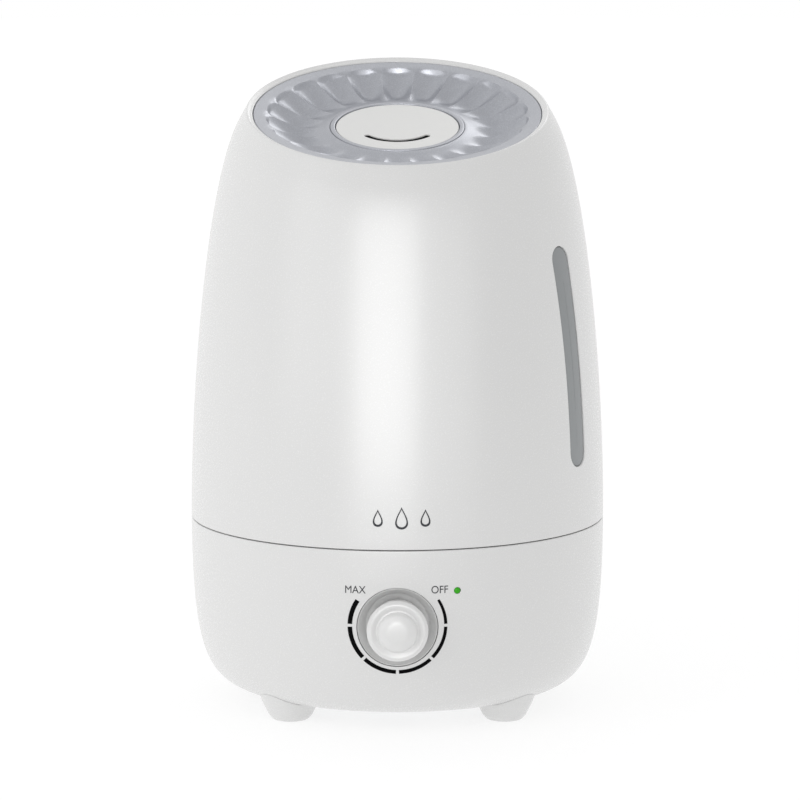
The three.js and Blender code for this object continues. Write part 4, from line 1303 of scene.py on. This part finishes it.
# ------------------------------------------------------------------ base


@dataclass(frozen=True)
class Base:
    """The casing that everything stands in, its feet and its underside."""

    skin: Skin
    bench: Bench
    cover_radius: float = 66.0
    cover_thickness: float = 1.8
    ledge_width: float = 7.0
    ledge_height: float = 4.0
    basin_wall: float = 2.4
    foot_circle: float = 75.5
    foot_height: float = 19.0
    sole_radius: float = 9.0
    pad_radius: float = 6.8
    pad_thickness: float = 0.9
    pad_proud: float = 0.35
    screw_radius: float = 1.2
    head_radius: float = 2.8
    head_height: float = 1.6
    screw_length: float = 5.8
    screw_bearings: tuple[float, ...] = (0, 90, 180, 270)

    def opening(
        self, radius: float, across: float, height: float, edge: float, bearing: float = 0.0
    ) -> BMesh:
        """A tool for a round opening in the casing.

        Args:
            radius: The opening's radius.
            across: Its centre across the casing.
            height: Its centre's level.
            edge: Radius of its outer edge.
            bearing: Degrees from the front.

        Returns:
            The tool, laid on the skin.
        """
        tool = flared(lambda grow: circle(radius + grow, 72), edge, 14.0)
        return self.skin.wrap(moved(tool, x=across, y=height), False, bearing)

    def casing(self) -> BMesh:
        """The round casing, open at its top and underneath."""
        skin = self.skin
        top = skin.seam - SEAM_GAP
        inner = skin.body_radius - CASING_WALL
        shelf = DECK_HEIGHT - self.basin_wall - GAP
        outside = [p for p in skin.base() if p[1] < top - 1.2]
        inside = [p for p in reversed(inset(skin.base(), CASING_WALL)) if p[1] < shelf - 9]
        floor = skin.clearance + self.cover_thickness + GAP
        ledge = self.cover_radius + GAP - self.ledge_width
        corners: list[tuple[float, ...]] = [
            (self.cover_radius + GAP, skin.clearance, 0.5),
            *outside,
            (skin.body_radius, top, 0.55),
            (inner, top, 0.5),
            (inner, shelf),
            (inner - 3.4, shelf, 0.4),
            (inner - 0.2, shelf - 7),
            *inside,
            (self.cover_radius + 4, skin.clearance + CASING_WALL),
            (self.cover_radius + 3, floor + self.ledge_height, 0.4),
            (ledge, floor + self.ledge_height, 0.4),
            (ledge, floor, 0.3),
            (self.cover_radius + GAP, floor),
        ]
        body = spin(rounded(corners, 4), skin.steps)
        return carve(
            body,
            self.opening(DISH_RADIUS + GAP, 0, DIAL_HEIGHT, 0.35),
            self.opening(LAMP_RADIUS + 0.15, LAMP_X, LAMP_HEIGHT, 0.2),
            self.opening(INLET_RADIUS + GAP, 0, INLET_HEIGHT, 0.3, 180),
            *[self.screw_hole(degrees, self.ledge_height + 20) for degrees in self.screw_bearings],
        )

    @property
    def screw_circle(self) -> float:
        """Radius of the circle that the cover's screws stand on."""
        return self.cover_radius + GAP - self.ledge_width / 2

    def screw_hole(self, degrees: float, height: float) -> BMesh:
        """A tool for one of the cover's screw holes."""
        hole = rod(self.screw_radius + GAP, 0, height, 0, 20)
        return turned(moved(hole, x=self.screw_circle), degrees)

    def foot(self, degrees: float) -> BMesh:
        """A foot: a cone that flares out and runs up against the curved underside.

        Args:
            degrees: Where it stands round the body.

        Returns:
            The foot's mesh.
        """
        seat = self.pad_thickness + GAP
        recess = self.pad_radius + GAP
        sole = self.pad_proud
        profile = rounded(
            [(0, seat), (recess, seat, 0.2), (recess, sole, 0.3), (self.sole_radius, sole, 1.2),
             (self.sole_radius + 1.9, sole + 2.2, 1.6), (self.sole_radius + 5.2, sole + 8.8, 6.0),
             (self.sole_radius + 8.4, sole + self.foot_height), (0, sole + self.foot_height)], 5, False,
        )
        stub = turned(moved(spin(profile, 72), x=self.foot_circle), degrees)
        skin = inset(self.skin.base(), -0.1)
        above = spin([(0, skin[0][1]), *skin, (0, self.skin.seam)], self.skin.steps)
        reach = self.skin.body_radius + 10
        edge, high = self.cover_radius + GAP, self.skin.seam
        beside = spin([(edge, -1), (reach, -1), (reach, high), (edge, high)], self.skin.steps)
        return carve(combine(stub, beside, Cut.COMMON), above)

    def screw(self) -> BMesh:
        """A pan head screw pointing up, with a cross recess; the head's underside is at 0."""
        head, high = self.head_radius, self.head_height
        corners = [
            (0, -high), (head * 0.55, -high, 0.8), (head, -high * 0.35, 0.5), (head, 0, 0.1),
            (self.screw_radius, 0), (self.screw_radius, self.screw_length), (0, self.screw_length),
        ]
        body = spin(rounded(corners, 4, False), 40)
        cross = join(block((0, 0, -high), (3.0, 0.6, 1.6)), block((0, 0, -high), (0.6, 3.0, 1.6)))
        return carve(body, cross)

    def build(self) -> None:
        """Makes the base's pieces."""
        bench = self.bench
        bench.add("base_wall", self.casing(), GLOSS_ABS, Body.BASE, ("base_casing",), weighted=True)
        places = {"front_right": -45, "back_right": 45, "back_left": 135, "front_left": 225}
        for name, degrees in places.items():
            bench.add(f"leg_{name}", self.foot(degrees), GLOSS_ABS, Body.BASE, (f"foot_{name}",))
            pad = moved(rod(self.pad_radius, 0, self.pad_thickness, 0.3, 48), x=self.foot_circle)
            bench.add(f"sole_{name}", turned(pad, degrees), RUBBER, Body.BASE, (f"foot_pad_{name}",))
        bench.refine("bottom_cover", INNER_ABS, Body.BASE, 0.3)
        for index, degrees in enumerate(self.screw_bearings, 1):
            screw = moved(self.screw(), x=self.screw_circle, z=self.skin.clearance - GAP)
            screw = turned(screw, degrees)
            bench.add(f"base_screw_{index}", screw, STEEL, Body.BASE, (f"cover_screw_{index}",))


@dataclass(frozen=True)
class Dial:
    """The mist dial: its round dish, the knob, and the scale printed round it."""

    skin: Skin
    bench: Bench
    floor_radius: float = 15.6
    recess: float = 8.4
    dish_wall: float = 1.6
    knob_radius: float = 15.0
    knob_proud: float = 10.0
    dome_radius: float = 9.6
    dome_proud: float = 14.2
    bushing_radius: float = 3.5
    shaft_radius: float = 3.0
    scale_radius: float = 24.2
    scale_rise: float = 0.9
    scale_ends: float = 33.0
    scale_gap: float = 3.6
    scale_thin: float = 1.2
    scale_thick: float = 2.3
    word_size: float = 5.3
    word_height: float = 75.4
    word_stretch: float = 0.9
    max_x: float = -20.5
    off_x: float = 20.4

    @property
    def face(self) -> float:
        """Body axis to the skin at the dial's middle."""
        return self.skin.base_radius(DIAL_HEIGHT)

    def dish(self) -> BMesh:
        """The dish, whose rim follows the casing."""
        floor = self.face - self.recess
        back = floor - self.dish_wall
        rim = self.face - 0.8
        hole = self.bushing_radius + GAP
        corners = [
            (hole, back, 0.2), (self.floor_radius, back, 0.4), (DISH_RADIUS, floor + 2, 0.6),
            (DISH_RADIUS, rim, 0.15), (DISH_RADIUS - 0.35, rim, 0.3), (DISH_RADIUS - 0.7, rim - 1.0, 0.6),
            (self.floor_radius, floor, 1.2), (hole, floor, 0.2),
        ]
        cup = spin(rounded(corners, 5), 120)

        def follow(point: Vector) -> Vector:
            radius = math.hypot(point.x, point.y)
            share = smoothstep(radius, self.floor_radius + 0.5, DISH_RADIUS - 1.2)
            share *= smoothstep(point.z, floor, rim - 1)
            sink = self.skin.depth_at(point.x, DIAL_HEIGHT + point.y) - self.face
            return Vector((point.x, point.y, point.z + share * sink))

        return facing(reshape(cup, follow), DIAL_HEIGHT)

    def knob(self) -> BMesh:
        """The knob: a broad flange with a dome in front."""
        floor = self.face - self.recess
        back = floor + 1.2
        flange = self.face + self.knob_proud
        front = self.face + self.dome_proud
        nut = floor + GAP + 2
        bore_end = nut + 0.6 + 8
        bore, hollow = self.shaft_radius + GAP, self.bushing_radius + 4.2
        wide, dome = self.knob_radius, self.dome_radius
        corners = [
            (0, bore_end), (bore, bore_end, 0.2), (bore, nut + 1, 0.3), (hollow, nut + 1, 0.4),
            (hollow, back, 0.4), (wide - 2.2, back, 0.6), (wide, flange - 2.2, 2.0),
            (wide - 1.7, flange, 1.4), (dome + 0.9, flange - 1.3, 0.7), (dome, flange - 1.1, 0.3),
            (dome - 0.5, front - 2.6, 2.4), (dome * 0.55, front - 0.4, 5.0), (0, front),
        ]
        return facing(spin(rounded(corners, 6, False), 96), DIAL_HEIGHT)

    def arc(self, start: float, end: float) -> BMesh:
        """One bar of the scale, thicker towards the high end.

        Args:
            start: Its first angle in degrees, from the right, counter-clockwise.
            end: Its last angle.

        Returns:
            The printed bar on the casing.
        """
        shape = bmesh.new()
        ends = [shape.verts.new((self.scale_radius - inwards, 0, 0)) for inwards in (1, 0)]
        edge = shape.edges.new(ends)
        turned(shape, start)
        bmesh.ops.spin(
            shape, geom=ends + [edge], cent=(0, 0, 0), axis=(0, 0, 1),
            angle=math.radians(end - start), steps=24,
        )

        def swell(point: Vector) -> Vector:
            radius = math.hypot(point.x, point.y)
            angle = (math.degrees(math.atan2(point.y, point.x)) - self.scale_ends - 0.1) % -360
            share = (-angle / (180 + 2 * self.scale_ends)) ** 0.55
            if radius > self.scale_radius - 0.5:
                return point
            width = self.scale_thin + (self.scale_thick - self.scale_thin) * share
            return point * ((self.scale_radius - width) / radius)

        middle = DIAL_HEIGHT + self.scale_rise
        return printed(self.skin, moved(reshape(shape, swell), y=middle), False)

    def word(self, text: str, across: float) -> BMesh:
        """A word of the scale.

        Args:
            text: The word.
            across: Its middle, from the dial's axis.

        Returns:
            The printed word.
        """
        curve = bpy.data.curves.new(text, "FONT")
        curve.body = text
        curve.size = self.word_size
        curve.align_x = "CENTER"
        curve.align_y = "CENTER"
        letters = bpy.data.objects.new(text, curve)
        bpy.context.scene.collection.objects.link(letters)
        ready = letters.evaluated_get(bpy.context.evaluated_depsgraph_get())
        mesh = bpy.data.meshes.new_from_object(ready)
        bpy.data.objects.remove(letters)
        shape = bmesh.new()
        shape.from_mesh(mesh)
        bpy.data.meshes.remove(mesh)
        bmesh.ops.remove_doubles(shape, verts=shape.verts, dist=1e-4)
        bmesh.ops.scale(shape, vec=(self.word_stretch, 1.0, 1.0), verts=shape.verts)
        return printed(self.skin, moved(shape, x=across, y=self.word_height), False)

    def build(self) -> None:
        """Makes the dial's pieces."""
        bench = self.bench
        bench.add("dial_cup", self.dish(), DIAL_ABS, Body.BASE, ("dial_dish",))
        bench.add("mist_knob", self.knob(), DIAL_ABS, Body.DIAL, ("dial_knob",))
        bars = (-self.scale_ends, 0, 45, 90, 135, 180, 180 + self.scale_ends)
        half = self.scale_gap / 2
        for index, (first, last) in enumerate(zip(bars, bars[1:]), 1):
            start = -first - (0 if index == 1 else half)
            end = -last + (0 if index == len(bars) - 1 else half)
            bench.add(f"scale_bar_{index}", self.arc(start, end), BLACK_INK, Body.BASE)
        bench.add("word_max", self.word("MAX", self.max_x), GREY_INK, Body.BASE)
        bench.add("word_off", self.word("OFF", self.off_x), GREY_INK, Body.BASE)
        bench.refine("potentiometer", STEEL, Body.BASE, 0.3)
        bench.refine("dial_nut", STEEL, Body.BASE, 0.25)
        bench.refine("dial_shaft", STEEL, Body.DIAL, 0.2)


def printed(skin: Skin, flat: BMesh, of_tank: bool) -> BMesh:
    """Gives a flat shape its thickness of ink and lays it on the skin.

    Args:
        skin: The skin that it lies on.
        flat: Faces in the XY plane, X across and Y up.
        of_tank: True for the tank's skin and False for the base's.

    Returns:
        The print.
    """
    raised = bmesh.ops.extrude_face_region(flat, geom=flat.faces[:])["geom"]
    verts = [item for item in raised if isinstance(item, BMVert)]
    bmesh.ops.translate(flat, vec=(0, 0, INK_THICKNESS), verts=verts)
    bmesh.ops.recalc_face_normals(flat, faces=flat.faces)
    return skin.wrap(moved(flat, z=INK_LIFT), of_tank, 0)


@dataclass(frozen=True)
class DropletMark:
    """Three plain droplets printed low on the tank, the middle one larger."""

    skin: Skin
    bench: Bench
    across: float = 2.0
    height: float = 111.0
    pitch: float = 11.5
    tall: float = 11.0
    wide: float = 7.0
    stroke: float = 0.85

    def outline(self, scale: float, shrink: float) -> list[Vector]:
        """A droplet's outline: a round belly and a pointed tip.

        Args:
            scale: Its size, 1 for the middle one.
            shrink: How far the outline is moved inwards.

        Returns:
            The outline's points.
        """
        points = []
        steps = 48
        for k in range(steps):
            angle = math.tau * (k + 0.5) / steps
            pinch = math.sin(angle / 2) ** 1.6
            wide = (self.wide * scale / 2 - shrink) / 0.78
            tall = self.tall * scale / 2 - shrink * 1.25
            points.append(Vector((math.sin(angle) * pinch * wide, math.cos(angle) * tall, 0)))
        return points

    def droplet(self, place: int) -> BMesh:
        """One droplet, left of the middle, in it or right of it."""
        scale = 1.0 if place == 0 else 0.78
        flat = loft([self.outline(scale, 0), self.outline(scale, self.stroke)], False)
        return printed(self.skin, moved(flat, x=self.across + place * self.pitch, y=self.height), True)

    def build(self) -> None:
        """Makes the three droplets."""
        for name, place in (("left", -1), ("middle", 0), ("right", 1)):
            self.bench.add(f"droplet_{name}", self.droplet(place), GREY_INK, Body.TANK)


@dataclass(frozen=True)
class Fittings:
    """The small fittings in the casing: the status lamp and the cord inlet."""

    skin: Skin
    bench: Bench
    inlet_bore: float = 3.2
    inlet_proud: float = 4.0

    def lamp(self) -> BMesh:
        """The lamp's domed lens."""
        face = self.skin.base_radius(LAMP_HEIGHT) + 0.25
        bearing = math.degrees(math.asin(LAMP_X / self.skin.base_radius(LAMP_HEIGHT)))
        corners = [
            (0, face - 8), (LAMP_RADIUS, face - 8, 0.2), (LAMP_RADIUS, face - 0.4, 0.3),
            (LAMP_RADIUS * 0.6, face, 0.8), (0, face + 0.05),
        ]
        return facing(spin(rounded(corners, 5, False), 40), LAMP_HEIGHT, bearing)

    def gland(self) -> BMesh:
        """The cord gland: a rubber bush with a flange that follows the skin."""
        face = self.skin.base_radius(INLET_HEIGHT)
        front = face + self.inlet_proud
        wide = INLET_RADIUS + 2.4
        corners = [
            (self.inlet_bore, face - 2), (wide, face - 2), (wide, front - 1, 0.5),
            (INLET_RADIUS + 1, front, 0.8), (self.inlet_bore, front, 0.7),
        ]
        flange = spin(rounded(corners, 4), 72)
        bush = ring(INLET_RADIUS, self.inlet_bore, face - CASING_WALL - 4, front - 1, 0.3)
        skin = inset(self.skin.base(), -0.05)
        inside = spin([(0, skin[0][1]), *skin, (0, self.skin.seam)], self.skin.steps)
        outwards = carve(facing(flange, INLET_HEIGHT, 180), inside)
        return join(outwards, facing(bush, INLET_HEIGHT, 180))

    def build(self) -> None:
        """Makes the fittings."""
        self.bench.add("status_lamp", self.lamp(), LENS, Body.BASE, ("lamp_lens",))
        self.bench.add("cord_gland", self.gland(), RUBBER, Body.BASE, ("inlet_gland",))
        self.bench.refine("lamp_board", BOARD, Body.BASE, 0.2)


# ------------------------------------------------------------------ inside


# Each working part's CAD node, finish, body and edge radius.
WORKING_PARTS = (
    ("water_basin", INNER_ABS, Body.BASE, 0.5),
    ("transducer_seal", SILICONE, Body.BASE, 0.3),
    ("transducer_disc", PLATING, Body.BASE, 0.2),
    ("transducer_clamp", INNER_ABS, Body.BASE, 0.3),
    ("clamp_screw_1", STEEL, Body.BASE, 0.2),
    ("clamp_screw_2", STEEL, Body.BASE, 0.2),
    ("dust_filter", FILTER, Body.BASE, 0.4),
    ("fan_frame", BLACK, Body.BASE, 0.4),
    ("fan_rotor", BLACK, Body.FAN, 0.2),
    ("air_duct", INNER_ABS, Body.BASE, 0.4),
    ("driver_board", BOARD, Body.BASE, 0.2),
    ("power_board", BOARD, Body.BASE, 0.2),
    ("heat_sink", ALUMINIUM, Body.BASE, 0.2),
    ("transformer", BLACK, Body.BASE, 0.6),
    ("smoothing_capacitor", BLACK, Body.BASE, 0.5),
    ("reed_switch", BLACK, Body.BASE, 0.3),
    ("float_ring", FLOAT_FOAM, Body.FLOAT, 0.6),
    ("float_magnet", STEEL, Body.FLOAT, 0.2),
    ("filler_cap", GLOSS_ABS, Body.CAP, 0.4),
    ("filler_gasket", SILICONE, Body.CAP, 0.3),
    ("valve_plunger", INNER_ABS, Body.VALVE, 0.2),
    ("valve_seal", SILICONE, Body.VALVE, 0.2),
)


@dataclass(frozen=True)
class Interior:
    """The working parts: basin, transducer, fan, electronics, float, filler cap and valve."""

    bench: Bench

    def build(self) -> None:
        """Refines each working part from its CAD node."""
        for node, finish, body, bevel in WORKING_PARTS:
            self.bench.refine(node, finish, body, bevel)


# ------------------------------------------------------------------ studio


@dataclass(frozen=True)
class Studio:
    """The camera, the pale floor and the soft lights."""

    axis_y: float
    aim_x: float = 0.0013
    aim_height: float = 0.1531
    centre_height: float = 0.165
    distance: float = 1.8
    elevation: float = 8.0
    lens: float = 159.3

    def camera(self) -> None:
        """Sets up the camera a little above the object's middle."""
        data = bpy.data.cameras.new("camera")
        data.lens = self.lens
        data.sensor_width = 36
        camera = bpy.data.objects.new("camera", data)
        rise = math.radians(self.elevation)
        camera.location = (
            0,
            self.axis_y - self.distance * math.cos(rise),
            self.centre_height + self.distance * math.sin(rise),
        )
        aim = Vector((self.aim_x, self.axis_y, self.aim_height))
        camera.rotation_euler = (aim - camera.location).to_track_quat("-Z", "Y").to_euler()
        bpy.context.scene.collection.objects.link(camera)
        bpy.context.scene.camera = camera

    def softbox(self, name: str, place: Sequence[float], size: Point, watts: float) -> Object:
        """A soft rectangular light that faces the object.

        Args:
            name: Its name.
            place: Where it stands, from the body axis, in metres.
            size: Its width and height in metres.
            watts: Its power.

        Returns:
            The light.
        """
        data = bpy.data.lights.new(name, "AREA")
        data.shape = "RECTANGLE"
        data.size, data.size_y = size
        data.energy = watts
        light = bpy.data.objects.new(name, data)
        light.location = Vector(place) + Vector((0, self.axis_y, 0))
        aim = Vector((0, self.axis_y, 0.17))
        light.rotation_euler = (aim - light.location).to_track_quat("-Z", "Y").to_euler()
        bpy.context.scene.collection.objects.link(light)
        return light

    def backdrop(self, tree: Tree) -> None:
        """White behind the object, a little dimmer in front and on the right."""
        place = add_node(tree, "ShaderNodeTexCoord").outputs["Generated"]
        slope = add_node(tree, "ShaderNodeVectorMath", {"operation": "DOT_PRODUCT"})
        tree.links.new(place, slope.inputs[0])
        slope.inputs[1].default_value = (-0.05, 0.2, 0.0)
        glow = mapped(tree, slope.outputs["Value"], (-0.2, 0.1), (0.7, 1.0))
        tree.links.new(glow, tree.nodes["Background"].inputs["Strength"])
        tree.nodes["Background"].inputs["Color"].default_value = linear("#FFFFFF")

    def floor(self) -> None:
        """A wide pale floor."""
        shape = bmesh.new()
        bmesh.ops.create_circle(shape, cap_ends=True, segments=96, radius=9.0)
        mesh = bpy.data.meshes.new("floor")
        shape.to_mesh(mesh)
        shape.free()
        piece = bpy.data.objects.new("floor", mesh)
        paper = LitSurface(
            "lit_paper", "", "#909090", "#8D8D8D", 0.95, grain_mm=3.0, depth_mm=0.02, glow=2.7
        )
        mesh.materials.append(paper.material())
        bpy.context.scene.collection.objects.link(piece)

    def build(self) -> None:
        """Sets up the whole studio."""
        self.camera()
        self.floor()
        world = bpy.data.worlds.new("studio")
        bpy.context.scene.world = world
        world.use_nodes = True
        self.backdrop(world.node_tree)
        bpy.context.scene.view_settings.view_transform = "Standard"
        self.softbox("key_left", (-1.4, -1.1, 0.8), (1.0, 1.4), 5)
        for name, place, size, watts in (
            ("front_strip", (-0.09, -0.85, 0.36), (0.5, 0.7), 4.2),
            ("front_fill", (0.06, -0.85, 0.36), (1.3, 0.7), 3.0),
            ("back_sheen", (0.75, 1.5, 1.5), (1.1, 0.9), 6),
        ):
            self.softbox(name, place, size, watts).visible_diffuse = False  # sheen only


def main() -> None:
    """Builds every sub-assembly in order."""
    logging.basicConfig(level=logging.INFO, format="%(name)s: %(message)s")
    low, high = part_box("tank_shell")
    axis_y = (low.y + high.y) / 2
    bench = Bench(axis_y)
    skin = Skin()
    Studio(axis_y).build()
    # Every CAD node has a finish too, though its fine piece stands in for it.
    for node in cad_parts.values():
        node.data.materials.clear()
        node.data.materials.append(STEEL.material())
    for kind in (Tank, SlantedTop, Base, Dial, DropletMark, Fittings):
        kind(skin, bench).build()
    Interior(bench).build()


if __name__ == "__main__":
    main()
